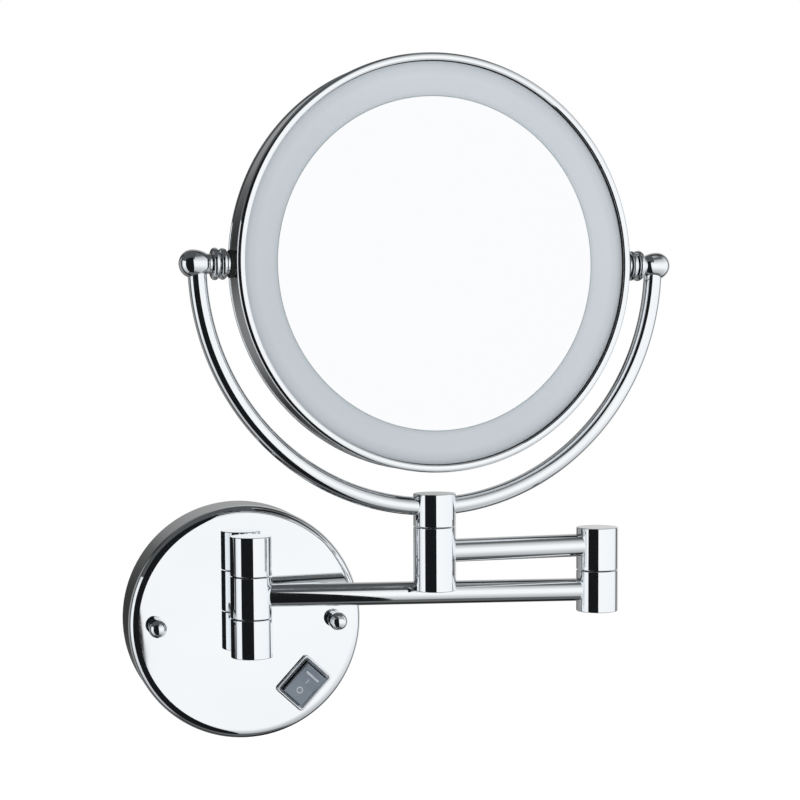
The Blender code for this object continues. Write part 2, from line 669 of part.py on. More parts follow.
def switch_rocker():
    """The key that rocks: a shallow V on top, a round hub below, turned to its off side."""
    half = SWITCH_WINDOW_L / 2 - ROCKER_GAP
    low = -ROCKER_SKIRT
    outline = [(-half, ROCKER_END_H), (0, ROCKER_MIDDLE_H), (half, ROCKER_END_H), (half, low)]
    outline += quarter(0, low, ROCKER_HUB_R, 0, -180, 2 * ROUNDING_STEPS)
    outline.append((-half, low))
    curve = bpy.data.curves.new("rocker_outline", "CURVE")
    curve.dimensions = "2D"
    curve.fill_mode = "BOTH"
    curve.extrude = SWITCH_WINDOW_W / 2 - ROCKER_GAP
    spline = curve.splines.new("POLY")
    spline.points.add(len(outline) - 1)
    for point, (along, height) in zip(spline.points, outline):
        point.co = (along, height, 0, 1)
    spline.use_cyclic_u = True
    key = bpy.data.objects.new("switch_rocker", curve)
    PARTS.objects.link(key)
    place(key, HERE, (radians(90), 0, 0), ROCKER_AXIS, KEY_PLASTIC)


# ---------------------------------------------------------------- driver and terminals

def on_wall(inset, bearing, out=0.0):
    """A place at an inset from the cover's edge, its bearing counted up from +X."""
    reach = COVER_R - inset
    return reach * cos(bearing), -out, reach * sin(bearing)


def driver():
    """Light driver: an open case, its circuit board and its lid."""
    seat = BRACKET_T + GAP
    top = seat + DRIVER_H
    inside_l = DRIVER_L - 2 * DRIVER_WALL
    inside_w = DRIVER_W - 2 * DRIVER_WALL
    where = on_wall(DRIVER_INSET, DRIVER_BEARING)
    case = box("driver_case", DRIVER_L, DRIVER_W, seat, top)
    place(case, where, OUT_OF_WALL, None, WHITE_PLASTIC)
    room = box("driver_room", inside_l, inside_w, seat + DRIVER_WALL, top + OVERCUT)
    place(room, where, OUT_OF_WALL, None, WHITE_PLASTIC)
    cut(case, room)
    board_low = seat + DRIVER_WALL + GAP
    board = box("driver_board", inside_l - 2 * GAP, inside_w - 2 * GAP, board_low, board_low + BOARD_T)
    place(board, where, OUT_OF_WALL, None, CIRCUIT)
    lid = box("driver_lid", DRIVER_L, DRIVER_W, top + GAP, top + GAP + DRIVER_WALL)
    place(lid, where, OUT_OF_WALL, None, WHITE_PLASTIC)


def terminal_block():
    """Mains terminal block with a row of screw holes."""
    seat = BRACKET_T + GAP
    top = seat + TERMINAL_H
    middle_x, wall_y, middle_z = on_wall(TERMINAL_INSET, TERMINAL_BEARING)
    block = box("terminal_block", TERMINAL_L, TERMINAL_W, seat, top)
    place(block, (middle_x, wall_y, middle_z), OUT_OF_WALL, None, WHITE_PLASTIC)
    pitch = TERMINAL_L / TERMINAL_WAYS
    for way in range(TERMINAL_WAYS):
        along = (way - (TERMINAL_WAYS - 1) / 2) * pitch
        hole = rod(f"terminal_hole_{way}", TERMINAL_HOLE_R, top - TERMINAL_HOLE_DEPTH,
                   top + OVERCUT, TINY_STEPS)
        place(hole, (middle_x + along, wall_y, middle_z), OUT_OF_WALL, None, WHITE_PLASTIC)
        cut(block, hole)


# ---------------------------------------------------------------- arms

def arm_tube(name, length, height, parent):
    """Hollow arm tube between two barrels, held in a socket of each."""
    start = BARREL_R - ARM_SOCKET + GAP
    tube = ring(name, ARM_TUBE_R - ARM_TUBE_WALL, ARM_TUBE_R, start, length - start)
    place(tube, (0, 0, height), TO_RIGHT, parent, CHROME)


def shoulder_screw(name, head_low, tip, parent):
    """The screw that two barrels turn on, with its head below."""
    head_top = head_low + SCREW_HEAD_T
    socket_top = head_low + HEX_SOCKET_DEPTH
    outline = [
        (0, tip), (PIN_R - BARREL_CHAMFER, tip), (PIN_R, tip - BARREL_CHAMFER), (PIN_R, head_top),
        (SCREW_HEAD_R, head_top), (SCREW_HEAD_R, head_low), (HEX_SOCKET_R, head_low),
        (HEX_SOCKET_R, socket_top), (0, socket_top),
    ]
    piece = turned(name, outline)
    place(piece, HERE, HERE, parent, STEEL)


def screw_mouth():
    """Depth of a barrel's lower mouth: the cap, the screw's head and their gaps."""
    return GAP + CAP_T + GAP + SCREW_HEAD_T + GAP


def lower_arm():
    """Middle barrel of the wall hinge, the long tube and the elbow's lower barrel."""
    low, high = ARM_BARREL_BOTTOM_Z, ARM_BARREL_TOP_Z
    inner = BARREL_R - ARM_SOCKET
    outer = BARREL_R + OVERCUT
    near = barrel("lower_arm_barrel", low, high, low, high, HINGE_AXIS, recess_top=True)
    recess = rod("lower_arm_barrel_recess", WASHER_R + GAP, low - OVERCUT, low + WASHER_RECESS)
    place(recess, HERE, HERE, HINGE_AXIS, CHROME)
    cut(near, recess)
    socket(near, ARM_TUBE_R, LOWER_TUBE_Z, inner, outer, TO_RIGHT, HINGE_AXIS)
    arm_tube("lower_arm_tube", LOWER_ARM_LENGTH, LOWER_TUBE_Z, HINGE_AXIS)
    far = barrel("elbow_barrel_lower", low, high, low, high, ELBOW_AXIS_LOWER, recess_top=True,
                 counterbore=screw_mouth())
    socket(far, ARM_TUBE_R, LOWER_TUBE_Z, inner, outer, TO_LEFT, ELBOW_AXIS_LOWER)
    washer("hinge_washer_upper", high, HINGE_AXIS)
    washer("hinge_washer_lower", low, HINGE_AXIS, upwards=False)
    washer("elbow_washer", high, ELBOW_AXIS_LOWER)
    end_cap("elbow_cap", low, ELBOW_AXIS_LOWER)


def upper_arm():
    """Elbow's upper barrel and its screw, the short tube and the post."""
    low, high = UPPER_BARREL_BOTTOM_Z, ELBOW_TOP_Z
    inner = BARREL_R - ARM_SOCKET
    outer = BARREL_R + OVERCUT
    bore_high = high - BARREL_END_WALL
    near = barrel("elbow_barrel_upper", low, high, low, bore_high, ELBOW_AXIS)
    socket(near, ARM_TUBE_R, UPPER_TUBE_Z, inner, outer, TO_RIGHT, ELBOW_AXIS)
    shoulder_screw("elbow_screw", ARM_BARREL_BOTTOM_Z + 2 * GAP + CAP_T, bore_high - GAP, ELBOW_AXIS)
    arm_tube("upper_arm_tube", UPPER_ARM_LENGTH, UPPER_TUBE_Z, ELBOW_AXIS)
    post = barrel("post_barrel", POST_BOTTOM_Z, POST_TOP_Z, POST_BOTTOM_Z, POST_TOP_Z,
                  POST_AXIS_LOWER, recess_top=True, counterbore=screw_mouth())
    socket(post, ARM_TUBE_R, UPPER_TUBE_Z, inner, outer, TO_LEFT, POST_AXIS_LOWER)
    washer("post_washer", POST_TOP_Z, POST_AXIS_LOWER)
    end_cap("post_cap", POST_BOTTOM_Z, POST_AXIS_LOWER)


# ---------------------------------------------------------------- yoke

def yoke_arc(start, end, side, steps=ARC_STEPS):
    """Points on the hoop; angles in radians up from straight down, side is -1 left or 1 right."""
    angles = [start + (end - start) * i / steps for i in range(steps + 1)]
    return [(side * YOKE_R * sin(a), 0, HEAD_Z - YOKE_R * cos(a)) for a in angles]


def yoke_barrel():
    """Short barrel on the post that holds both halves of the hoop."""
    low, high = YOKE_BARREL_BOTTOM_Z, YOKE_BARREL_TOP_Z
    bore_high = high - BARREL_END_WALL
    piece = barrel("yoke_barrel", low, high, low, bore_high, POST_AXIS)
    inner = asin((BARREL_R - YOKE_SOCKET) / YOKE_R)
    outer = asin((BARREL_R + 3 * OVERCUT) / YOKE_R)
    for side in (-1, 1):
        mouth = swept(f"yoke_barrel_socket_{side}", yoke_arc(inner, outer, side, 2),
                      YOKE_TUBE_R + GAP)
        place(mouth, HERE, HERE, POST_AXIS, CHROME)
        cut(piece, mouth)
    shoulder_screw("post_screw", POST_BOTTOM_Z + 2 * GAP + CAP_T, bore_high - GAP, POST_AXIS)


def tube_end_height():
    """How far below the tilt axis the hoop's ends stop, clear of the pivot screws."""
    return PIVOT_R + 2 * GAP


def yoke_tube(side_name, side):
    """One half of the hoop, a bent tube from the yoke barrel up into its finial."""
    start = asin((BARREL_R - YOKE_SOCKET + GAP) / YOKE_R)
    end = pi / 2 - asin(tube_end_height() / YOKE_R)
    tube = swept(f"yoke_tube_{side_name}", yoke_arc(start, end, side), YOKE_TUBE_R)
    place(tube, HERE, HERE, POST_AXIS, CHROME)
    past = OVERCUT / YOKE_R
    core = swept(f"yoke_tube_core_{side_name}", yoke_arc(start - past, end + past, side),
                 YOKE_TUBE_R - YOKE_TUBE_WALL, 1)
    place(core, HERE, HERE, POST_AXIS, CHROME)
    cut(tube, core)


def finial(side_name, side, direction):
    """Rounded end piece on the hoop, bored for the pivot screw and for the tube."""
    far = YOKE_R + FINIAL_OUTER
    bore_end = YOKE_R + PIVOT_DEPTH
    dome_steps = 2 * ROUNDING_STEPS
    outline = [(0, far)]
    for i in range(1, dome_steps + 1):
        angle = pi / 2 * (1 - i / dome_steps)
        outline.append((FINIAL_R * cos(angle), far - FINIAL_DOME_L * (1 - sin(angle))))
    outline += [(FINIAL_R, FINIAL_NEAR + FINIAL_WAIST_L), (FINIAL_WAIST_R, FINIAL_NEAR),
                (PIVOT_BORE_R, FINIAL_NEAR), (PIVOT_BORE_R, bore_end), (0, bore_end)]
    piece = turned(f"finial_{side_name}", outline)
    place(piece, (0, 0, HEAD_Z), direction, POST_AXIS, CHROME)
    top = pi / 2 - asin((tube_end_height() - GAP) / YOKE_R)
    low = pi / 2 - asin((FINIAL_R + 2 * OVERCUT) / YOKE_R)
    mouth = swept(f"finial_socket_{side_name}", yoke_arc(low, top, side, 3), YOKE_TUBE_R + GAP)
    place(mouth, HERE, HERE, POST_AXIS, CHROME)
    cut(piece, mouth)


def pivot(side_name, direction):
    """Turned disc beside the finial, the pivot screw and the nut inside the mirror head."""
    flat_r = DISC_R - DISC_EDGE_R
    outline = [(PIVOT_BORE_R, DISC_OUT)]
    outline += quarter(flat_r, DISC_OUT - DISC_EDGE_R, DISC_EDGE_R, 90, 0, EDGE_STEPS)
    outline += quarter(flat_r, DISC_IN + DISC_EDGE_R, DISC_EDGE_R, 0, -90, EDGE_STEPS)
    outline.append((PIVOT_BORE_R, DISC_IN))
    disc = turned(f"pivot_disc_{side_name}", outline, closed=True)
    place(disc, (0, 0, HEAD_Z), direction, POST_AXIS, CHROME)
    screw = rod(f"pivot_screw_{side_name}", PIVOT_R, PIVOT_SCREW_IN,
                YOKE_R + PIVOT_DEPTH - GAP, TINY_STEPS)
    place(screw, (0, 0, HEAD_Z), direction, POST_AXIS, STEEL)
    hexagon_nut(f"pivot_nut_{side_name}", PIVOT_NUT_R, PIVOT_BORE_R, PIVOT_NUT_IN, PIVOT_NUT_OUT,
                (0, 0, HEAD_Z), direction, POST_AXIS)


# ---------------------------------------------------------------- mirror head

def head_boss(side_name, direction):
    """Flanged boss on the head's band that turns against the pivot disc."""
    flange_low = BOSS_OUT - BOSS_FLANGE_T
    flat_r = BOSS_FLANGE_R - DISC_EDGE_R
    spigot_end = BAND_R - SPIGOT_LENGTH
    outline = [(PIVOT_BORE_R, BOSS_OUT)]
    outline += quarter(flat_r, BOSS_OUT - DISC_EDGE_R, DISC_EDGE_R, 90, 0, EDGE_STEPS)
    outline += quarter(flat_r, flange_low + DISC_EDGE_R, DISC_EDGE_R, 0, -90, EDGE_STEPS)
    outline += [(BOSS_NECK_R, flange_low), (BOSS_NECK_R, BOSS_SEAT), (SPIGOT_R, BOSS_SEAT),
                (SPIGOT_R, spigot_end), (PIVOT_BORE_R, spigot_end)]
    boss = turned(f"head_boss_{side_name}", outline, closed=True)
    place(boss, HERE, direction, TILT_AXIS, CHROME)


def head_band():
    """Chrome side band, with a hole for each boss."""
    band = ring("head_band", BAND_R - BAND_WALL, BAND_R, -BAND_HALF, BAND_HALF, LARGE_STEPS)
    place(band, HERE, OUT_OF_WALL, TILT_AXIS, CHROME)
    hole = rod("head_band_holes", SPIGOT_R + GAP, -RIM_R - OVERCUT, RIM_R + OVERCUT)
    place(hole, HERE, TO_RIGHT, TILT_AXIS, CHROME)
    cut(band, hole)


def bezel(name, direction):
    """Rolled rim with a thin lip over the panel and a skirt inside the band."""
    front = HEAD_HALF_DEPTH
    back = front - BEAD_DEPTH
    bead = BEAD_DEPTH / 2
    shelf = front - LIP_T - GAP
    outline = [(BEAD_LIP_R, front - LIP_T / 2)]
    outline += quarter(RIM_R - bead, front - bead, bead, 90, 0)
    outline += quarter(RIM_R - bead, front - bead, bead, 0, -90)
    outline += [(SKIRT_OUT_R, back), (SKIRT_OUT_R, back - SKIRT_DEPTH),
                (SKIRT_IN_R, back - SKIRT_DEPTH), (SKIRT_IN_R, shelf), (BEAD_LIP_R, shelf)]
    piece = turned(name, outline, LARGE_STEPS, closed=True)
    place(piece, HERE, direction, TILT_AXIS, CHROME)


def front_glass():
    """Plain silvered glass with a ground edge."""
    low = GLASS_FRONT - GLASS_T
    outline = [(0, GLASS_FRONT), (GLASS_R - GLASS_EDGE, GLASS_FRONT),
               (GLASS_R, GLASS_FRONT - GLASS_EDGE), (GLASS_R, low), (0, low)]
    glass = turned("front_glass", outline, LARGE_STEPS)
    place(glass, HERE, OUT_OF_WALL, TILT_AXIS, SILVERED)


def light_diffuser():
    """Frosted ring that slopes from the rim down to the glass."""
    outer_h = HEAD_HALF_DEPTH - DIFFUSER_RECESS
    inner_r = GLASS_R + GAP
    outline = [(inner_r, GLASS_FRONT), (PANEL_R, outer_h), (PANEL_R, outer_h - DIFFUSER_T),
               (inner_r, GLASS_FRONT - DIFFUSER_T)]
    diffuser = turned("light_diffuser", outline, LARGE_STEPS, closed=True)
    place(diffuser, HERE, OUT_OF_WALL, TILT_AXIS, FROSTED)


def led_board():
    """Ring-shaped circuit board with its row of light-emitting diodes."""
    low = GAP
    high = low + LED_BOARD_T
    board = ring("led_board", LED_BOARD_IN_R, LED_BOARD_OUT_R, low, high, LARGE_STEPS)
    place(board, HERE, OUT_OF_WALL, TILT_AXIS, WHITE_PLASTIC)
    middle_r = (LED_BOARD_IN_R + LED_BOARD_OUT_R) / 2
    lights = bpy.data.meshes.new("led_chips")
    shape = bmesh.new()
    for index in range(LED_COUNT):
        angle = 2 * pi * (index + 0.5) / LED_COUNT
        chip = bmesh.ops.create_cube(shape, size=1)["verts"]
        bmesh.ops.scale(shape, vec=(LED_SIZE, LED_SIZE, LED_T + LED_BOARD_T / 2), verts=chip)
        centre = (middle_r * cos(angle), middle_r * sin(angle), high + (LED_T - LED_BOARD_T / 2) / 2)
        bmesh.ops.translate(shape, vec=centre, verts=chip)
    shape.to_mesh(lights)
    shape.free()
    chips = bpy.data.objects.new("led_chips", lights)
    PARTS.objects.link(chips)
    place(chips, HERE, OUT_OF_WALL, TILT_AXIS, WHITE_PLASTIC)
    cut(board, chips, "UNION")


def inner_tray():
    """Moulded tray between the two mirrors, notched for the pivot nuts."""
    hub_top = GLASS_FRONT - GLASS_T - GAP
    hub_out = TRAY_HUB_R + TRAY_HUB_WALL / 2
    hub_in = TRAY_HUB_R - TRAY_HUB_WALL / 2
    floor = -TRAY_T
    outline = [(0, 0), (hub_in, 0), (hub_in, hub_top), (hub_out, hub_top), (hub_out, 0),
               (PANEL_R, 0), (PANEL_R, floor), (0, floor)]
    tray = turned("inner_tray", outline, LARGE_STEPS)
    place(tray, HERE, OUT_OF_WALL, TILT_AXIS, WHITE_PLASTIC)
    notch_in = PIVOT_SCREW_IN - NOTCH_MARGIN
    for side in (-1, 1):
        notch = box(f"tray_notch_{side}", 2 * (RIM_R - notch_in), 3 * PIVOT_NUT_R,
                    -HEAD_HALF_DEPTH, HEAD_HALF_DEPTH)
        place(notch, (side * RIM_R, 0, 0), OUT_OF_WALL, TILT_AXIS, WHITE_PLASTIC)
        cut(tray, notch)


def rear_glass():
    """Magnifying glass on the back: a shallow dish that curves in towards its middle."""
    edge_h = HEAD_HALF_DEPTH - LIP_T - 2 * GAP
    faces = []
    for i in range(DISH_STEPS + 1):
        share = i / DISH_STEPS
        faces.append((PANEL_R * share, edge_h - REAR_GLASS_DISH * (1 - share ** 2)))
    backs = [(radius, height - REAR_GLASS_T) for radius, height in reversed(faces)]
    glass = turned("rear_glass", faces + backs, LARGE_STEPS)
    place(glass, HERE, TO_BACK, TILT_AXIS, SILVERED)


# ---------------------------------------------------------------- assembly

WALL_HINGE = axis_empty("wall_hinge", (0, HINGE_Y, 0))
HINGE_AXIS = axis_empty("hinge_axis", (0, HINGE_Y, 0), (0, 0, -SWING))
ELBOW_AXIS_LOWER = axis_empty("elbow_lower", (LOWER_ARM_LENGTH, 0, 0), HERE, HINGE_AXIS)
ELBOW_AXIS = axis_empty("elbow_axis", (LOWER_ARM_LENGTH, 0, 0), (0, 0, pi + FOLD), HINGE_AXIS)
POST_AXIS_LOWER = axis_empty("post_lower", (UPPER_ARM_LENGTH, 0, 0), HERE, ELBOW_AXIS)
POST_AXIS = axis_empty("post_axis", (UPPER_ARM_LENGTH, 0, 0),
                       (0, 0, HEADING + SWING - pi - FOLD), ELBOW_AXIS)
TILT_AXIS = axis_empty("tilt_axis", (0, 0, HEAD_Z), (-TILT, 0, 0), POST_AXIS)
SWITCH_AXIS = axis_empty("switch_axis", on_wall(SWITCH_INSET, SWITCH_BEARING, COVER_DEPTH),
                         (radians(90), -SWITCH_TURN, 0))
ROCKER_AXIS = axis_empty("rocker_axis", HERE, (0, -ROCKER_TILT, 0), SWITCH_AXIS)


def build():
    """Make every piece of the mirror."""
    wall_bracket()
    cable_grommet()
    wall_cover()
    hinge_plate()
    wall_hinge()
    driver()
    terminal_block()
    switch_frame()
    switch_body()
    switch_rocker()
    lower_arm()
    upper_arm()
    yoke_barrel()
    head_band()
    bezel("front_bezel", OUT_OF_WALL)
    bezel("rear_bezel", TO_BACK)
    front_glass()
    light_diffuser()
    led_board()
    inner_tray()
    rear_glass()
    for side_name, side, direction in (("left", -1, TO_LEFT), ("right", 1, TO_RIGHT)):
        stud(side_name, side)
        cap_nut(side_name, side)
        yoke_tube(side_name, side)
        finial(side_name, side, direction)
        pivot(side_name, direction)
        head_boss(side_name, direction)
    bpy.context.view_layer.update()


build()
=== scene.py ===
"""Looks for the extendable shaving mirror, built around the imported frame.

Every visible part is a finely turned or swept piece that takes its place and size from its node.
Sizes are in metres, +Z is up and the wall is the plane y = 0.
"""
import json
from math import atan2, ceil, cos, hypot, pi, radians, sin, tan

import bmesh
import bpy
from mathutils import Matrix, Vector


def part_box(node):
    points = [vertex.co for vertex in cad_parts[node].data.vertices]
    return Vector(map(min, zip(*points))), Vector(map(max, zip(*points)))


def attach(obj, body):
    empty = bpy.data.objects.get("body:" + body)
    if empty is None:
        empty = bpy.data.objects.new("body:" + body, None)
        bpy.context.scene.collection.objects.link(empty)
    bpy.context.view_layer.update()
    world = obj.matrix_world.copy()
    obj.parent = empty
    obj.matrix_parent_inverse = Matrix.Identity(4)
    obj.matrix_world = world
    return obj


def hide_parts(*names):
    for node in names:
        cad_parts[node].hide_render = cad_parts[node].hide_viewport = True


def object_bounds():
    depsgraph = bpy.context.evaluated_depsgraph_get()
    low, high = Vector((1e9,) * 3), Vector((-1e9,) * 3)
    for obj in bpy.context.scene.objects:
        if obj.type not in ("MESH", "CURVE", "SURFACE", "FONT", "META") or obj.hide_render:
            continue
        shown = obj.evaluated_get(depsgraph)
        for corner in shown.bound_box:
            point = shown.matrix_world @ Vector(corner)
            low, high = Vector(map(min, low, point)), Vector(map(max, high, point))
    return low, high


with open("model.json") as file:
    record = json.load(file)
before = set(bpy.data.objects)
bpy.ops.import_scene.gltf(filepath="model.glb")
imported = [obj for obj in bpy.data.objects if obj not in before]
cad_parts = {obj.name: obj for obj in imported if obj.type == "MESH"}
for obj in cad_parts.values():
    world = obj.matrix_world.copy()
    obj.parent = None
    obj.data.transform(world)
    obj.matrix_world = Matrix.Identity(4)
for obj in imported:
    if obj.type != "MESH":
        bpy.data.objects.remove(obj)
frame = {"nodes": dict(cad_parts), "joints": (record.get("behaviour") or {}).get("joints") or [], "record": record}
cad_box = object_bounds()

MM = 0.001

# Camera: a little to the left of the object and level with its arms
CAMERA_PLACE = Vector((-169.6, -1025.25, 155.65)) * MM
CAMERA_YAW = radians(13.43)
CAMERA_PITCH = radians(-4.66)
CAMERA_ROLL = radians(-0.34)
CAMERA_LENS = 86.12
CAMERA_SENSOR = 36.0
CAMERA_SHIFT = (0.0375, 0.1046)

# Fineness
ROUND = 96
LARGE_ROUND = 288
TUBE_SIDES = 64
HOOP_STEPS = 120
BEAD_STEPS = 24
CORNER_STEPS = 8
ARC_ANGLE = radians(9)      # longest step in a rounding
SHARP_ANGLE = radians(38)

# Roundings and visible gaps
EDGE = 0.35 * MM
FINE_EDGE = 0.15 * MM
HAIRLINE = 0.08 * MM
CREASE = 0.1 * MM

# Sheet and tube walls
COVER_WALL = 1.2 * MM
COVER_EDGE = 5.0 * MM
BAND_WALL = 1.0 * MM
HOUSING_WALL = 1.0 * MM


# ---------------------------------------------------------------- the frame's axes

def axes_at(origin, z_axis, x_axis):
    """A frame at origin whose Z and X lie along the given directions."""
    z = Vector(z_axis).normalized()
    x = Vector(x_axis)
    x = (x - z * x.dot(z)).normalized()
    y = z.cross(x)
    matrix = Matrix((x, y, z)).transposed().to_4x4()
    matrix.translation = Vector(origin)
    return matrix


JOINTS = {joint["name"]: joint for joint in frame["joints"]}
SLOTS = {part["node"]: part["material_slot"] for part in frame["record"]["subparts"]}
UP = Vector((0, 0, 1))
OUT = Vector((0, -1, 0))
RIGHT = Vector((1, 0, 0))


def joint_place(name):
    """Where a joint's axis stands."""
    return Vector(JOINTS[name]["pos_m"])


def middle(node):
    """Middle of a node's box."""
    low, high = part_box(node)
    return (low + high) / 2


WALL = axes_at((0, 0, 0), OUT, RIGHT)
HINGE = axes_at(joint_place("wall_hinge"), UP, joint_place("elbow") - joint_place("wall_hinge"))
ELBOW = axes_at(joint_place("elbow"), UP, joint_place("post_swivel") - joint_place("elbow"))
TILT = Vector(JOINTS["mirror_tilt"]["axis"])
POST = axes_at(joint_place("post_swivel"), UP, TILT)
HEAD = axes_at(joint_place("mirror_tilt"), middle("front_glass") - joint_place("mirror_tilt"), TILT)
HEAD_LEVEL = axes_at(joint_place("mirror_tilt"), TILT.cross(UP), TILT)
FORWARD = HEAD.to_3x3() @ Vector((0, 0, 1))
SWITCH_AXIS = Vector(JOINTS["light_switch"]["axis"])
SWITCH = axes_at(joint_place("light_switch"), OUT, SWITCH_AXIS.cross(OUT))


def along(matrix, direction, reach=0.0):
    """The same frame turned so that its Z lies along a world direction, moved reach along it."""
    side = matrix.to_3x3() @ Vector((0, 1, 0))
    return axes_at(matrix.translation + Vector(direction).normalized() * reach, direction, side)


class Extent:
    """A node's size in a frame: its radii about Z, its lowest and highest Z, and its box."""

    def __init__(self, node, matrix):
        inverse = matrix.inverted()
        points = [inverse @ vertex.co for vertex in frame["nodes"][node].data.vertices]
        radii = [hypot(point.x, point.y) for point in points]
        self.inner = min(radii)
        self.outer = max(radii)
        self.low = min(point.z for point in points)
        self.high = max(point.z for point in points)
        self.min = Vector([min(point[i] for point in points) for i in range(3)])
        self.max = Vector([max(point[i] for point in points) for i in range(3)])
        self.boxed = min(self.max.x, self.max.y, -self.min.x, -self.min.y)


# ---------------------------------------------------------------- mesh helpers

def soften(points, closed=False):
    """Outline points from (radius, height, rounding) corners, with every rounding as an arc."""
    count = len(points)
    result = []
    for index, (radius, height, rounding) in enumerate(points):
        ends = index in (0, count - 1) and not closed
        if ends or rounding <= 0:
            result.append((radius, height))
            continue
        corner = Vector((radius, height))
        before = Vector(points[index - 1][:2]) - corner
        after = Vector(points[(index + 1) % count][:2]) - corner
        turn = pi - before.angle(after)
        if turn < radians(1):
            result.append((radius, height))
            continue
        reach = min(rounding * tan(turn / 2), before.length * 0.499, after.length * 0.499)
        size = reach / tan(turn / 2)
        start = corner + before.normalized() * reach
        bisector = (before.normalized() + after.normalized()).normalized()
        centre = corner + bisector * (size / cos(turn / 2))
        steps = max(2, ceil(turn / ARC_ANGLE))
        first = start - centre
        last = corner + after.normalized() * reach - centre
        spin = atan2(first.x * last.y - first.y * last.x, first.dot(last))
        for step in range(steps + 1):
            angle = spin * step / steps
            turned = Vector((first.x * cos(angle) - first.y * sin(angle),
                             first.x * sin(angle) + first.y * cos(angle)))
            result.append(tuple(centre + turned))
    return result


def arc(centre_r, centre_h, radius, start, end, steps=16):
    """Outline corners on an arc, angles in degrees from the outward direction."""
    angles = [radians(start + (end - start) * i / steps) for i in range(steps + 1)]
    return [(centre_r + radius * cos(a), centre_h + radius * sin(a), 0.0) for a in angles]


def new_piece(name, mesh_data, matrix, material):
    """An object in the scene with a finish."""
    piece = bpy.data.objects.new(name, mesh_data)
    bpy.context.scene.collection.objects.link(piece)
    piece.matrix_world = matrix
    piece.data.materials.clear()
    piece.data.materials.append(material)
    return piece


def solid(name, shape, matrix, material):
    """An object from a finished bmesh."""
    mesh = bpy.data.meshes.new(name)
    shape.to_mesh(mesh)
    shape.free()
    return new_piece(name, mesh, matrix, material)


def circle(radius, height, count):
    """Points of a circle about Z."""
    turns = [2 * pi * i / count for i in range(count)]
    return [(radius * cos(turn), radius * sin(turn), height) for turn in turns]


def shade(piece):
    """Smooth shading that keeps flat faces flat and real edges sharp."""
    piece.data.shade_smooth()
    piece.data.set_sharp_from_angle(angle=SHARP_ANGLE)
    normals = piece.modifiers.new("normals", "WEIGHTED_NORMAL")
    normals.keep_sharp = True
    normals.weight = 100
    return piece


def settle(piece):
    """Replace a piece's mesh by its evaluated one and drop its modifiers."""
    bpy.context.view_layer.update()
    evaluated = piece.evaluated_get(bpy.context.evaluated_depsgraph_get())
    mesh = bpy.data.meshes.new_from_object(evaluated)
    piece.modifiers.clear()
    piece.data = mesh
    return piece


def lathe(name, outline, matrix, material, steps=ROUND, closed=False):
    """A piece turned about its own Z, its outer side given from top to bottom."""
    points = soften(outline, closed)
    shape = bmesh.new()
    rings = []
    for radius, height in points:
        if radius < 1e-7:
            rings.append([shape.verts.new((0, 0, height))])
            continue
        rings.append([shape.verts.new(point) for point in circle(radius, height, steps)])
    pairs = list(zip(rings, rings[1:]))
    if closed:
        pairs.append((rings[-1], rings[0]))
    for upper, lower in pairs:
        for i in range(steps):
            j = (i + 1) % steps
            if len(upper) == 1 and len(lower) == 1:
                break
            if len(upper) == 1:
                shape.faces.new((upper[0], lower[i], lower[j]))
            elif len(lower) == 1:
                shape.faces.new((upper[i], lower[0], upper[j]))
            else:
                shape.faces.new((upper[i], lower[i], lower[j], upper[j]))
    return shade(solid(name, shape, matrix, material))


def loft(name, loops, matrix, material, closed=False):
    """A piece skinned over loops of equal point count, open ends capped unless it closes on itself."""
    shape = bmesh.new()
    rings = [[shape.verts.new(point) for point in loop] for loop in loops]
    count = len(rings[0])
    pairs = list(zip(rings, rings[1:]))
    if closed:
        pairs.append((rings[-1], rings[0]))
    for near, far in pairs:
        for i in range(count):
            j = (i + 1) % count
            shape.faces.new((near[i], near[j], far[j], far[i]))
    if not closed:
        shape.faces.new(list(reversed(rings[0])))
        shape.faces.new(rings[-1])
    bmesh.ops.recalc_face_normals(shape, faces=shape.faces)
    return shade(solid(name, shape, matrix, material))


def rounded_rectangle(length, width, corner, height, steps=6):
    """Points of a rounded rectangle about Z, at one height."""
    corner = max(corner, FINE_EDGE)
    centres = [(1, 1, 0), (-1, 1, 90), (-1, -1, 180), (1, -1, 270)]
    points = []
    for sign_x, sign_y, start in centres:
        for step in range(steps + 1):
            angle = radians(start + 90 * step / steps)
            points.append((sign_x * (length / 2 - corner) + corner * cos(angle),
                           sign_y * (width / 2 - corner) + corner * sin(angle), height))
    return points


def prism(name, outline, width, matrix, material, bevel):
    """An outline in X and Z stretched along Y, with bevelled edges."""
    shape = bmesh.new()
    near = [shape.verts.new((x, -width / 2, z)) for x, z in outline]
    far = [shape.verts.new((x, width / 2, z)) for x, z in outline]
    count = len(outline)
    for i in range(count):
        j = (i + 1) % count
        shape.faces.new((near[i], near[j], far[j], far[i]))
    shape.faces.new(list(reversed(near)))
    shape.faces.new(far)
    bmesh.ops.recalc_face_normals(shape, faces=shape.faces)
    piece = solid(name, shape, matrix, material)
    edges = piece.modifiers.new("edges", "BEVEL")
    edges.width = bevel
    edges.segments = 3
    edges.limit_method = "ANGLE"
    edges.angle_limit = radians(30)
    settle(piece)
    return shade(piece)


def cut(piece, loops, matrix):
    """Cut a lofted hole through a piece."""
    cutter = loft(piece.name + "_cutter", loops, matrix, piece.data.materials[0])
    cutter.modifiers.clear()
    for modifier in list(piece.modifiers):
        piece.modifiers.remove(modifier)
    boolean = piece.modifiers.new("cut", "BOOLEAN")
    boolean.solver = "EXACT"
    boolean.object = cutter
    settle(piece)
    bpy.data.objects.remove(cutter)
    return shade(piece)


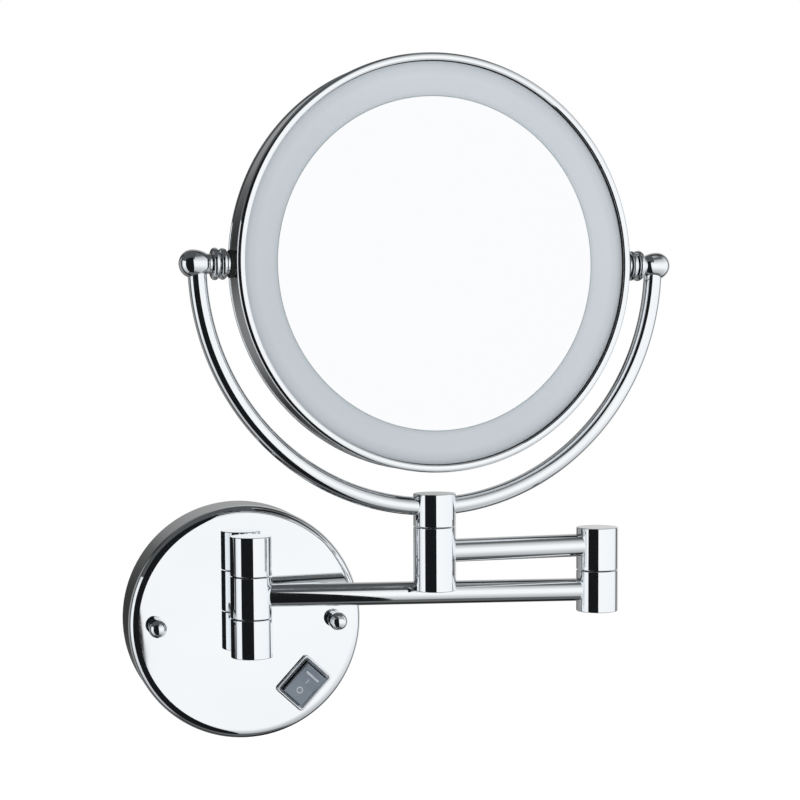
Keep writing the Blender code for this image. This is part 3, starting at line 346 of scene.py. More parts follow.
def give(piece, body, *nodes, slot=None):
    """Let a piece, its mesh set in the frame's own axes, ride on its body in place of its nodes."""
    piece.data.transform(piece.matrix_world)
    piece.matrix_world = Matrix.Identity(4)
    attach(piece, body)
    if nodes:
        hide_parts(*nodes)
    return piece


# ---------------------------------------------------------------- materials

def finish(name, colour, metallic=0.0, roughness=0.4):
    """A Principled material and the nodes that the callers build on."""
    material = bpy.data.materials.new(name)
    material.use_nodes = True
    tree = material.node_tree
    shader = tree.nodes["Principled BSDF"]
    shader.inputs["Base Color"].default_value = (*colour, 1.0)
    shader.inputs["Metallic"].default_value = metallic
    shader.inputs["Roughness"].default_value = roughness
    return material, tree, shader


def noise(tree, scale, detail=3.0, stretch=(1, 1, 1)):
    """Noise in the object's own coordinates."""
    coordinates = tree.nodes.new("ShaderNodeTexCoord")
    mapping = tree.nodes.new("ShaderNodeMapping")
    mapping.inputs["Scale"].default_value = stretch
    texture = tree.nodes.new("ShaderNodeTexNoise")
    texture.inputs["Scale"].default_value = scale
    texture.inputs["Detail"].default_value = detail
    tree.links.new(coordinates.outputs["Object"], mapping.inputs["Vector"])
    tree.links.new(mapping.outputs["Vector"], texture.inputs["Vector"])
    return texture.outputs["Fac"]


def spread(tree, source, low, high, from_low=0.3, from_high=0.7):
    """Map a noise to a range of values."""
    scale = tree.nodes.new("ShaderNodeMapRange")
    scale.inputs["From Min"].default_value = from_low
    scale.inputs["From Max"].default_value = from_high
    scale.inputs["To Min"].default_value = low
    scale.inputs["To Max"].default_value = high
    tree.links.new(source, scale.inputs["Value"])
    return scale.outputs["Result"]


def tint(tree, shader, source, dark, light):
    """Colour that varies between two tones with a noise."""
    ramp = tree.nodes.new("ShaderNodeValToRGB")
    ramp.color_ramp.elements[0].position = 0.3
    ramp.color_ramp.elements[0].color = (*dark, 1.0)
    ramp.color_ramp.elements[1].position = 0.7
    ramp.color_ramp.elements[1].color = (*light, 1.0)
    tree.links.new(source, ramp.inputs["Fac"])
    tree.links.new(ramp.outputs["Color"], shader.inputs["Base Color"])


def bump(tree, shader, source, strength, distance):
    """Surface relief from a noise."""
    relief = tree.nodes.new("ShaderNodeBump")
    relief.inputs["Strength"].default_value = strength
    relief.inputs["Distance"].default_value = distance
    tree.links.new(source, relief.inputs["Height"])
    tree.links.new(relief.outputs["Normal"], shader.inputs["Normal"])


def chrome(name, smooth, bloom):
    """Chrome plate whose polish varies faintly where it has been wiped."""
    material, tree, shader = finish(name, (0.91, 0.92, 0.935), 1.0, smooth)
    wiped = noise(tree, 45.0, 4.0)
    tree.links.new(spread(tree, wiped, smooth, bloom), shader.inputs["Roughness"])
    tint(tree, shader, noise(tree, 18.0, 2.0), (0.895, 0.92, 0.94), (0.925, 0.947, 0.962))
    return material


def steel():
    """Machined steel with fine turning marks."""
    material, tree, shader = finish("machined_steel", (0.55, 0.55, 0.56), 1.0, 0.3)
    marks = noise(tree, 900.0, 2.0, (0.05, 0.05, 1.0))
    tree.links.new(spread(tree, marks, 0.22, 0.42), shader.inputs["Roughness"])
    bump(tree, shader, marks, 0.25, 0.00005)
    return material


def zinc():
    """Zinc-plated pressed steel with its cloudy, faintly yellow passivation."""
    material, tree, shader = finish("zinc_plate", (0.62, 0.63, 0.60), 1.0, 0.4)
    clouds = noise(tree, 70.0, 6.0)
    tint(tree, shader, clouds, (0.52, 0.54, 0.55), (0.68, 0.68, 0.62))
    tree.links.new(spread(tree, clouds, 0.3, 0.5), shader.inputs["Roughness"])
    return material


def mirror_glass():
    """Silvered glass, clean apart from the faintest wiping marks."""
    material, tree, shader = finish("silvered_glass", (0.972, 0.975, 0.985), 1.0, 0.01)
    wiped = noise(tree, 12.0, 5.0, (1.0, 0.35, 1.0))
    tree.links.new(spread(tree, wiped, 0.004, 0.016), shader.inputs["Roughness"])
    return material


def glass_edge():
    """Ground edge of the glass, pale green where the light goes into it."""
    material, tree, shader = finish("ground_glass_edge", (0.80, 0.88, 0.86), 0.0, 0.35)
    bump(tree, shader, noise(tree, 3000.0), 0.3, 0.00003)
    return material


def frosted():
    """Frosted acrylic over the unlit light ring: blue-grey, with a soft sheen, painted shade that darkens it
    towards its inner and outer edges, and a faint painted glow.
    """
    material, tree, shader = finish("frosted_acrylic", (0.83, 0.89, 0.94), 0.0, 0.35)
    clouds = noise(tree, 9.0, 2.0)
    place = tree.nodes.new("ShaderNodeTexCoord")
    reach = tree.nodes.new("ShaderNodeVectorMath")
    reach.operation = "DISTANCE"
    reach.inputs[1].default_value = joint_place("mirror_tilt")
    tree.links.new(place.outputs["Object"], reach.inputs[0])
    glass, ring = Extent("front_glass", HEAD), Extent("light_diffuser", HEAD)
    share = spread(tree, reach.outputs["Value"], 0.0, 1.0, glass.outer, ring.outer - 1.5 * MM)
    # Painted shade: a ramp by distance from the head's middle darkens the ring towards its inner and outer edges.
    painted_edge_shade = tree.nodes.new("ShaderNodeValToRGB")
    painted_edge_shade.color_ramp.elements[0].color = (0.80, 0.82, 0.84, 1.0)
    painted_edge_shade.color_ramp.elements[1].color = (0.76, 0.78, 0.80, 1.0)
    for position, value in ((0.16, 0.97), (0.62, 1.0), (0.86, 0.92)):
        painted_edge_shade.color_ramp.elements.new(position).color = (value, value, value, 1.0)
    tree.links.new(share, painted_edge_shade.inputs["Fac"])
    tint(tree, shader, clouds, (0.79, 0.85, 0.90), (0.84, 0.89, 0.93))
    shade_mix = tree.nodes.new("ShaderNodeMixRGB")
    shade_mix.blend_type = "MULTIPLY"
    shade_mix.inputs["Fac"].default_value = 1.0
    tree.links.new(shader.inputs["Base Color"].links[0].from_socket, shade_mix.inputs["Color1"])
    tree.links.new(painted_edge_shade.outputs["Color"], shade_mix.inputs["Color2"])
    tree.links.new(shade_mix.outputs["Color"], shader.inputs["Base Color"])
    # Painted glow: a faint light of the ring's own, though the ring's lamps are off.
    shader.inputs["Emission Color"].default_value = (0.86, 0.93, 1.0, 1.0)
    shader.inputs["Emission Strength"].default_value = 0.06
    shader.inputs["Subsurface Weight"].default_value = 0.12
    shader.inputs["Subsurface Radius"].default_value = (0.004, 0.004, 0.004)
    bump(tree, shader, noise(tree, 2600.0, 2.0), 0.08, 0.00004)
    return material


def plastic(name, colour, roughness, grain=1800.0, relief=0.12):
    """Moulded plastic with a spark-eroded grain."""
    material, tree, shader = finish(name, colour, 0.0, roughness)
    grains = noise(tree, grain, 2.0)
    darker = tuple(part * 0.93 for part in colour)
    lighter = tuple(min(1.0, part * 1.05) for part in colour)
    tint(tree, shader, noise(tree, 120.0, 3.0), darker, lighter)
    rough = spread(tree, grains, roughness * 0.85, roughness * 1.15)
    tree.links.new(rough, shader.inputs["Roughness"])
    bump(tree, shader, grains, relief, 0.00004)
    return material


CHROME = chrome("chrome", 0.012, 0.05)
SATIN_CHROME = chrome("satin_chrome", 0.16, 0.24)
STEEL = steel()
ZINC = zinc()
MIRROR = mirror_glass()
GLASS_EDGE = glass_edge()
FROSTED = frosted()
WHITE_PLASTIC = plastic("white_plastic", (0.78, 0.78, 0.76), 0.45)
BLACK_PLASTIC = plastic("black_plastic", (0.015, 0.015, 0.018), 0.35)
HOUSING = plastic("housing_plastic", (0.07, 0.075, 0.085), 0.3)
KEY_PLASTIC = plastic("key_plastic", (0.31, 0.365, 0.43), 0.36)
KEY_SIDE = plastic("key_side", (0.42, 0.46, 0.52), 0.3)
KEY_MARK = plastic("key_mark", (0.80, 0.85, 0.90), 0.4)
NYLON = plastic("nylon", (0.72, 0.71, 0.66), 0.5)
RUBBER = plastic("rubber", (0.03, 0.03, 0.03), 0.75, 900.0, 0.3)
CIRCUIT = plastic("circuit_board", (0.03, 0.18, 0.07), 0.3)
LED_WHITE = plastic("led_board_white", (0.82, 0.82, 0.80), 0.4)

MATERIALS = {
    "chrome": CHROME, "steel": STEEL, "zinc_plate": ZINC, "silvered_glass": MIRROR,
    "frosted_acrylic": FROSTED, "white_plastic": WHITE_PLASTIC, "led_board": LED_WHITE,
    "circuit_board": CIRCUIT, "black_plastic": BLACK_PLASTIC, "rocker_plastic": KEY_PLASTIC,
    "nylon": NYLON, "rubber": RUBBER,
}


def finish_nodes():
    """Give every node its slot's material."""
    for name, node in frame["nodes"].items():
        node.data.materials.clear()
        node.data.materials.append(MATERIALS[SLOTS[name]])


# ---------------------------------------------------------------- wall unit

def wall_cover():
    """Round casing with a softly rounded front edge and a window for the switch."""
    size = Extent("wall_cover", WALL)
    radius, front = size.boxed, size.high
    inner, inside = radius - COVER_WALL, front - COVER_WALL
    outline = [
        (0, front, 0), (radius, front, COVER_EDGE), (radius, size.low, 0.3 * MM),
        (inner, size.low, 0.3 * MM), (inner, inside, COVER_EDGE - COVER_WALL), (0, inside, 0),
    ]
    cover = lathe("wall_cover_shell", outline, WALL, CHROME, LARGE_ROUND)
    body = Extent("switch_body", SWITCH)
    length, width = body.max.x - body.min.x, body.max.y - body.min.y
    loops = [rounded_rectangle(length, width, 0.6 * MM, height) for height in (-5 * MM, 5 * MM)]
    cut(cover, loops, SWITCH)
    give(cover, "wall_unit", "wall_cover")


def cap_nut(side):
    """Domed cap nut: a round foot, a waist and a polished ball end."""
    node = f"cap_nut_{side}"
    place = middle(node)
    frame_here = axes_at((place.x, 0, place.z), OUT, RIGHT)
    size = Extent(node, frame_here)
    ball = size.outer
    centre = size.high - ball
    foot_top = size.low + 3.0 * MM
    waist = ball * 0.86
    outline = arc(0, centre, ball, 90, -24, 40)
    outline += [(waist, foot_top, 0.3 * MM), (waist, size.low + HAIRLINE, 0.25 * MM),
                (0, size.low + HAIRLINE, 0)]
    give(lathe(node + "_turned", outline, frame_here, CHROME), "wall_unit", node)


def hinge_stub(side):
    """Stub between the cover and a fixed barrel, with a thin round flange."""
    node = f"hinge_stub_{side}"
    place = middle(node)
    frame_here = axes_at((place.x, 0, place.z), OUT, RIGHT)
    size = Extent(node, frame_here)
    cover_front = Extent("wall_cover", WALL).high
    shank = size.outer * 5 / 7
    flange_top = cover_front + 1.5 * MM
    thread = size.outer * 3 / 7
    outline = [
        (0, size.high, 0), (shank, size.high, EDGE), (shank, flange_top, 0.6 * MM),
        (size.outer, flange_top, 0.5 * MM), (size.outer, cover_front + HAIRLINE, 0.1 * MM),
        (thread, cover_front + HAIRLINE, 0), (thread, size.low, EDGE), (0, size.low, 0),
    ]
    give(lathe(node + "_turned", outline, frame_here, CHROME), "wall_unit", node)


def barrel(node, matrix, body, mouth=None):
    """A polished barrel with softly broken edges, hollow below where a cap closes it."""
    size = Extent(node, matrix)
    edge = 0.45 * MM
    outline = [(0, size.high, 0), (size.outer, size.high, edge), (size.outer, size.low, edge)]
    if mouth:
        cap = Extent(mouth, matrix)
        bore = cap.outer + 0.1 * MM
        floor = cap.high + 0.3 * MM
        outline += [(bore, size.low, FINE_EDGE), (bore, floor, 0), (0, floor, 0)]
    else:
        outline.append((0, size.low, 0))
    give(lathe(node + "_turned", outline, matrix, CHROME, 2 * ROUND), body, node)


def end_cap(node, matrix, body):
    """Plug in a barrel's underside, slightly crowned, with two pin holes for a key."""
    size = Extent(node, matrix)
    pin_r = 0.6 * MM
    outline = [
        (0, size.high, 0), (size.outer, size.high, FINE_EDGE), (size.outer, size.low, 0.4 * MM),
        (size.outer - 1.5 * MM, size.low, 0.5 * MM), (0, size.low + 0.15 * MM, 0),
    ]
    cap = lathe(node + "_turned", outline, matrix, CHROME)
    for side in (-1, 1):
        hole = matrix @ Matrix.Translation((side * size.outer * 0.55, 0, size.low))
        cut(cap, [circle(pin_r, height, 16) for height in (-1.0 * MM, 0.9 * MM)], hole)
    give(cap, body, node)


def wall_bracket():
    """Pressed steel bracket with a turned-in rim, its cable hole and two countersunk screw holes."""
    size = Extent("wall_bracket", WALL)
    radius = size.boxed
    outline = [
        (0, size.high, 0), (radius, size.high, 0.8 * MM), (radius, size.low, 0.3 * MM),
        (0, size.low, 0),
    ]
    plate = lathe("wall_bracket_pressed", outline, WALL, ZINC, LARGE_ROUND)
    grommet = middle("cable_grommet")
    cable_r = 7.0 * MM
    screw_inset, screw_r, sink_r = 18 * MM, 2.4 * MM, 4.4 * MM
    holes = [(grommet.x, grommet.z, cable_r, cable_r)]
    holes += [(0, side * (radius - screw_inset), screw_r, sink_r) for side in (-1, 1)]
    for x, z, back_r, front_r in holes:
        here = axes_at((x, 0, z), OUT, RIGHT)
        levels = [(-1 * MM, back_r), (0.4 * MM, back_r),
                  (size.high, front_r), (size.high + MM, front_r)]
        cut(plate, [circle(r, h, 48) for h, r in levels], here)
    give(plate, "wall_unit", "wall_bracket")


def cable_grommet():
    """Rubber grommet with a rounded flange and a waisted bore."""
    place = middle("cable_grommet")
    here = axes_at((place.x, 0, place.z), OUT, RIGHT)
    size = Extent("cable_grommet", here)
    sleeve = 6.7 * MM
    seat = size.high - 1.8 * MM
    outline = [
        (size.inner, size.high, 0.7 * MM), (size.outer, size.high, 0.8 * MM),
        (size.outer, seat, 0.5 * MM), (sleeve, seat, 0.1 * MM), (sleeve, size.low, 0.4 * MM),
        (size.inner, size.low, 0.7 * MM),
    ]
    grommet = lathe("cable_grommet_moulded", outline, here, RUBBER, ROUND, closed=True)
    give(grommet, "wall_unit", "cable_grommet")


# ---------------------------------------------------------------- switch

def switch_frame():
    """Bevelled chrome frame with rounded corners and a step down to the key."""
    size = Extent("switch_frame", SWITCH)
    length, width = size.max.x - size.min.x, size.max.y - size.min.y
    rim = 2.6 * MM
    base, top = size.low - 0.2 * MM, size.high
    drop = 0.25 * MM
    steps = [
        (0.0, base, 2.0 * MM, 0),
        (0.0, top - 0.7 * MM, 2.0 * MM, 0),
        (0.12 * MM, top - 0.3 * MM, 1.9 * MM, 0),
        (0.4 * MM, top - 0.06 * MM, 1.7 * MM, 0),
        (0.7 * MM, top, 1.5 * MM, 0),
        (0.95 * MM, top, 1.4 * MM, 0),
        (1.1 * MM, top - 0.08 * MM, 1.3 * MM, 0),
        (rim - 0.2 * MM, top - 1.5 * MM, 0.7 * MM, drop),
        (rim - 0.1 * MM, top - 1.7 * MM, 0.6 * MM, drop),
        (rim - 0.1 * MM, base, 0.6 * MM, drop),
    ]
    loops = []
    for inset, height, corner, shift in steps:
        loop = rounded_rectangle(length - 2 * inset, width - 2 * inset, corner, height, CORNER_STEPS)
        loops.append([(x, y - shift, z) for x, y, z in loop])
    piece = loft("switch_frame_moulded", loops, SWITCH, SATIN_CHROME, closed=True)
    give(piece, "wall_unit", "switch_frame")


def switch_body():
    """Housing behind the cover: an open well with a stepped inner wall."""
    size = Extent("switch_body", SWITCH)
    length, width = size.max.x - size.min.x, size.max.y - size.min.y
    ledge = HOUSING_WALL + 0.4 * MM
    steps = [
        (0.0, size.low, 0.8 * MM), (0.0, size.high, 0.6 * MM), (HOUSING_WALL, size.high, 0.5 * MM),
        (HOUSING_WALL, size.high - 5.5 * MM, 0.5 * MM), (ledge, size.high - 6.4 * MM, 0.5 * MM),
    ]
    loops = [rounded_rectangle(length - 2 * inset, width - 2 * inset, corner, height, CORNER_STEPS)
             for inset, height, corner in steps]
    give(loft("switch_housing", loops, SWITCH, HOUSING), "wall_unit", "switch_body")


def key_height(x, half, ends, dip):
    """Height of the key's dished top at a distance from its middle."""
    return dip + (ends - dip) * (abs(x) / half) ** 1.3


def switch_rocker():
    """Key with a dished blue-grey top on a black core, an O, an I and a raised grip bar."""
    size = Extent("switch_rocker", SWITCH)
    half = (size.max.x - size.min.x) / 2 + 0.7 * MM
    width = size.max.y - size.min.y + 0.9 * MM
    lean = radians(5)
    key_frame = SWITCH @ Matrix.Translation((0, -0.45 * MM, 0)) @ Matrix.Rotation(-lean, 4, "Y")
    level = Extent("switch_rocker", key_frame)
    ends = level.high
    dip = ends - 1.1 * MM
    cap = 0.7 * MM
    spots = [half * (2 * i / 24 - 1) for i in range(25)]
    top = [(x, key_height(x, half, ends, dip)) for x in spots]
    under = [(x, z - cap) for x, z in reversed(top)]
    skin = prism("rocker_top", top + under, width, key_frame, KEY_PLASTIC, 0.22 * MM)
    give(skin, "rocker", "switch_rocker")
    inset = 0.2 * MM
    core_top = [(x * (1 - inset / half), z - cap - HAIRLINE / 4) for x, z in top]
    hub_r, hub_z = 1.6 * MM, -1.2 * MM
    hub = [(hub_r * cos(radians(a)), hub_z + hub_r * sin(radians(a))) for a in range(0, -181, -15)]
    core = core_top + [(half - inset, hub_z)] + hub + [(-half + inset, hub_z)]
    body = prism("rocker_core", core, width - 2 * inset, key_frame, KEY_SIDE, 0.15 * MM)
    give(body, "rocker", slot="rocker_plastic")

    def rest_at(x):
        """A frame on the key's top at x, its Z square to the surface."""
        step = 0.2 * MM
        rise = key_height(x + step, half, ends, dip) - key_height(x - step, half, ends, dip)
        slope = atan2(rise, 2 * step)
        height = key_height(x, half, ends, dip)
        return key_frame @ Matrix.Translation((x, 0, height)) @ Matrix.Rotation(-slope, 4, "Y")

    ring_out, ring_in = 1.8 * MM, 1.25 * MM
    proud, sunk, soft = 0.06 * MM, -0.1 * MM, 0.03 * MM
    ring = [(ring_out, proud, soft), (ring_out, sunk, 0), (ring_in, sunk, 0), (ring_in, proud, soft)]
    mark = lathe("rocker_mark_off", ring, rest_at(-4.0 * MM), KEY_MARK, 64, closed=True)
    give(mark, "rocker", slot="rocker_plastic")
    bars = [("rocker_mark_on", 2.1 * MM, 3.0 * MM, 0.45 * MM, 0.05 * MM),
            ("rocker_grip", 5.9 * MM, 1.25 * MM, 9.0 * MM, 0.55 * MM)]
    for name, x, length, breadth, height in bars:
        soft = min(length, breadth) * 0.45
        loops = [
            rounded_rectangle(length, breadth, soft, -0.25 * MM),
            rounded_rectangle(length, breadth, soft, height * 0.5),
            rounded_rectangle(length - 0.3 * height, breadth - 0.3 * height, soft * 0.9,
                              height * 0.85),
            rounded_rectangle(length - height * 0.6, breadth - height * 0.6, soft * 0.7, height),
        ]
        give(loft(name, loops, rest_at(x), KEY_MARK), "rocker", slot="rocker_plastic")


# ---------------------------------------------------------------- arms and hoop

def arm_tube(node, matrix, body):
    """Polished arm tube, brazed into its barrels with a small fillet at each."""
    size = Extent(node, matrix)
    centre = Vector((0, 0, (size.min.z + size.max.z) / 2))
    here = along(matrix, matrix.to_3x3() @ Vector((1, 0, 0)))
    here.translation = matrix @ centre
    tube = Extent(node, here)
    outline = [(0, tube.high, 0), (tube.outer, tube.high, 0.2 * MM),
               (tube.outer, tube.low, 0.2 * MM), (0, tube.low, 0)]
    give(lathe(node + "_polished", outline, here, CHROME, 2 * ROUND), body, node)


def hoop_tube(side, sign):
    """Half of the hoop: a bent tube from the yoke barrel up into its finial."""
    node = f"yoke_tube_{side}"
    inverse = HEAD_LEVEL.inverted()
    points = [inverse @ vertex.co for vertex in frame["nodes"][node].data.vertices]
    radii = [hypot(point.x, point.y) for point in points]
    hoop_r = (min(radii) + max(radii)) / 2
    tube_r = (max(radii) - min(radii)) / 2
    angles = [atan2(abs(point.x), -point.y) for point in points]
    start, end = min(angles), max(angles)
    loops = []
    for step in range(HOOP_STEPS + 1):
        angle = start + (end - start) * step / HOOP_STEPS
        ring = []
        for i in range(TUBE_SIDES):
            turn = 2 * pi * i / TUBE_SIDES
            reach = hoop_r + tube_r * cos(turn)
            ring.append((sign * reach * sin(angle), -reach * cos(angle), tube_r * sin(turn)))
        loops.append(ring)
    give(loft(node + "_polished", loops, HEAD_LEVEL, CHROME), "yoke", node)


def finial(side, sign):
    """Egg-shaped end piece with a turned neck."""
    node = f"finial_{side}"
    here = along(HEAD_LEVEL, sign * TILT)
    size = Extent(node, here)
    radius, near, far = size.outer, size.low, size.high - 0.04 * MM
    dome = 6.9 * MM
    taper = 10.5 * MM
    neck, neck_end = 4.9 * MM, near + 1.4 * MM
    count = 32
    outline = [(0, far, 0)]
    for i in range(1, count + 1):
        angle = pi / 2 * (1 - i / count)
        outline.append((radius * cos(angle), far - dome * (1 - sin(angle)), 0))
    for i in range(1, count + 1):
        drop = (far - dome - neck_end) * i / count
        outline.append((radius * (1 - (drop / taper) ** 2) ** 0.5, far - dome - drop, 0))
    outline += [(neck, neck_end - 0.2 * MM, 0.3 * MM), (neck, near, FINE_EDGE), (0, near, 0)]
    give(lathe(node + "_turned", outline, here, CHROME, 2 * ROUND), "yoke", node)


def bead_outline(top, centre, flange_r, half):
    """Outline of a turned bead from the axis at its top, down round its outer side."""
    bead = flange_r - half * 0.75
    outline = [(0, top, 0), (bead - 0.9 * MM, top, 0.3 * MM)]
    for i in range(BEAD_STEPS + 1):
        angle = radians(90 - 180 * i / BEAD_STEPS)
        outline.append((bead + half * 0.75 * cos(angle), centre + half * 0.92 * sin(angle), 0))
    return outline, bead - 0.9 * MM


def pivot_disc(side, sign):
    """Turned disc between finial and boss, with a groove behind its bead."""
    node = f"pivot_disc_{side}"
    here = along(HEAD_LEVEL, sign * TILT)
    size = Extent(node, here)
    half = (size.high - size.low) / 2
    centre = (size.high + size.low) / 2
    outline, shoulder = bead_outline(size.high, centre, size.outer, half)
    outline += [(shoulder, size.low, 0.3 * MM), (0, size.low, 0)]
    give(lathe(node + "_turned", outline, here, CHROME, 2 * ROUND), "yoke", node)


def head_boss(side, sign):
    """Flanged boss on the head's band: a bead, a neck and a foot."""
    node = f"head_boss_{side}"
    here = along(HEAD, sign * TILT)
    size = Extent(node, here)
    band = Extent("head_band", HEAD).outer
    half = 1.65 * MM
    flange_low = size.high - 3.3 * MM
    neck, spigot = 5.5 * MM, 4.4 * MM
    foot = band + 0.12 * MM
    outline, _ = bead_outline(size.high, flange_low + half, size.outer, half)
    outline += [(neck, flange_low, 0.4 * MM), (neck, foot, CREASE), (spigot, foot, 0),
                (spigot, size.low, FINE_EDGE), (0, size.low, 0)]
    give(lathe(node + "_turned", outline, here, CHROME, 2 * ROUND), "mirror_head", node)
    # A black ring round the neck against the band, which makes the space between the bead and the band dark.
    rim_r, inside = neck + 1.5 * MM, neck + 0.05 * MM
    top, base = band + 2.4 * MM, band + 0.15 * MM
    outline = [(inside, top, CREASE), (rim_r, top, 0.6 * MM),
               (rim_r, base, 0.3 * MM), (inside, base, CREASE)]
    black_ring = lathe(f"boss_washer_{side}", outline, here, RUBBER, ROUND, closed=True)
    give(black_ring, "mirror_head", slot="rubber")


# ---------------------------------------------------------------- mirror head

def head_band():
    """Side band between the two rims."""
    size = Extent("head_band", HEAD)
    radius = size.boxed
    inner = radius - BAND_WALL
    outline = [
        (inner, size.high, CREASE), (radius, size.high, FINE_EDGE),
        (radius, size.low, FINE_EDGE), (inner, size.low, CREASE),
    ]
    band = lathe("head_band_polished", outline, HEAD, CHROME, LARGE_ROUND, closed=True)
    give(band, "mirror_head", "head_band")


def bezel(node, direction):
    """Rolled rim: a half-round bead, a lip that slopes down to the panel and a skirt inside the band."""
    here = along(HEAD, direction)
    size = Extent(node, here)
    bead, swell = 1.5 * MM, 2.3 * MM
    radius = size.boxed
    front = size.high
    lip_r = radius - 3.9 * MM
    shelf = front - 0.55 * MM
    skirt_out, skirt_in = radius - 1.9 * MM, radius - 2.5 * MM
    outline = [(lip_r, front - 0.4 * MM, CREASE), (lip_r + 0.7 * MM, front, 0.5 * MM)]
    outline += [(radius - swell + swell * (r / bead), h, 0.0)
                for r, h, _ in arc(0, front - bead, bead, 90, -90, 40)]
    outline += [(skirt_out, front - 2 * bead, CREASE), (skirt_out, size.low, CREASE),
                (skirt_in, size.low, CREASE), (skirt_in, shelf, CREASE), (lip_r, shelf, CREASE)]
    rim = lathe(node + "_rolled", outline, here, CHROME, LARGE_ROUND, closed=True)
    give(rim, "mirror_head", node)


def front_glass():
    """Round silvered glass with a narrow ground edge."""
    size = Extent("front_glass", HEAD)
    radius = size.outer + 0.2 * MM
    outline = [(0, size.high, 0), (radius - EDGE, size.high, 0), (radius, size.high - EDGE, 0),
               (radius, size.low, FINE_EDGE), (0, size.low, 0)]
    glass = lathe("front_glass_silvered", outline, HEAD, MIRROR, LARGE_ROUND)
    glass.data.materials.append(GLASS_EDGE)
    for face in glass.data.polygons:
        if abs(face.normal.z) < 0.99:
            face.material_index = 1
    give(glass, "mirror_head", "front_glass")


def light_diffuser():
    """Frosted ring that slopes from the rim down to the glass, with softly turned edges."""
    size = Extent("light_diffuser", HEAD)
    glass = Extent("front_glass", HEAD)
    inner = glass.outer + 0.28 * MM
    outer = size.outer - 1.75 * MM
    edge = size.high - 1.2 * MM
    thick = 2.4 * MM
    crown = []
    count = 14
    for i in range(count + 1):
        share = i / count
        height = glass.high + (edge - glass.high) * (0.75 * share + 0.25 * share ** 2.4)
        crown.append((inner + (outer - inner) * share, height, 0))
    outline = crown + [(outer, edge - thick, 0.3 * MM), (inner, glass.high - thick, 0.3 * MM)]
    ring = lathe("light_diffuser_frosted", outline, HEAD, FROSTED, LARGE_ROUND, closed=True)
    give(ring, "mirror_head", "light_diffuser")


def groove_shade_ring():
    """Black ring at the bottom of the groove between the rim and the frosted ring: painted shade, a dark ring
    standing in for the shadow in the groove.
    """
    size = Extent("front_bezel", HEAD)
    wall, inside, outside = size.boxed - 3.8 * MM, size.boxed - 4.35 * MM, size.boxed - 2.7 * MM
    top, step, base = size.high - 0.6 * MM, size.high - 3.6 * MM, size.high - 4.4 * MM
    outline = [(wall, top, CREASE), (outside, top, CREASE), (outside, base, CREASE),
               (inside, base, CREASE), (inside, step, CREASE), (wall, step, CREASE)]
    # Painted shade: this black ring darkens the groove where it is in shadow.
    shade_ring = lathe("groove_painted_shade", outline, HEAD, RUBBER, LARGE_ROUND, closed=True)
    give(shade_ring, "mirror_head", slot="rubber")


def rear_glass():
    """Magnifying mirror on the back, dished towards its middle."""
    here = along(HEAD, -FORWARD)
    size = Extent("rear_glass", here)
    radius = size.outer - 0.02 * MM
    dish = 4.4 * MM
    thick = 2.0 * MM
    count = 40
    face = [(radius * i / count, size.high - dish * (1 - (i / count) ** 2), 0)
            for i in range(count + 1)]
    back = [(r, h - thick, 0) for r, h, _ in reversed(face)]
    glass = lathe("rear_glass_silvered", face + back, here, MIRROR, LARGE_ROUND)
    glass.data.materials.append(GLASS_EDGE)
    for polygon in glass.data.polygons:
        if abs(polygon.normal.z) < 0.5:
            polygon.material_index = 1
    give(glass, "mirror_head", "rear_glass")


# ---------------------------------------------------------------- studio

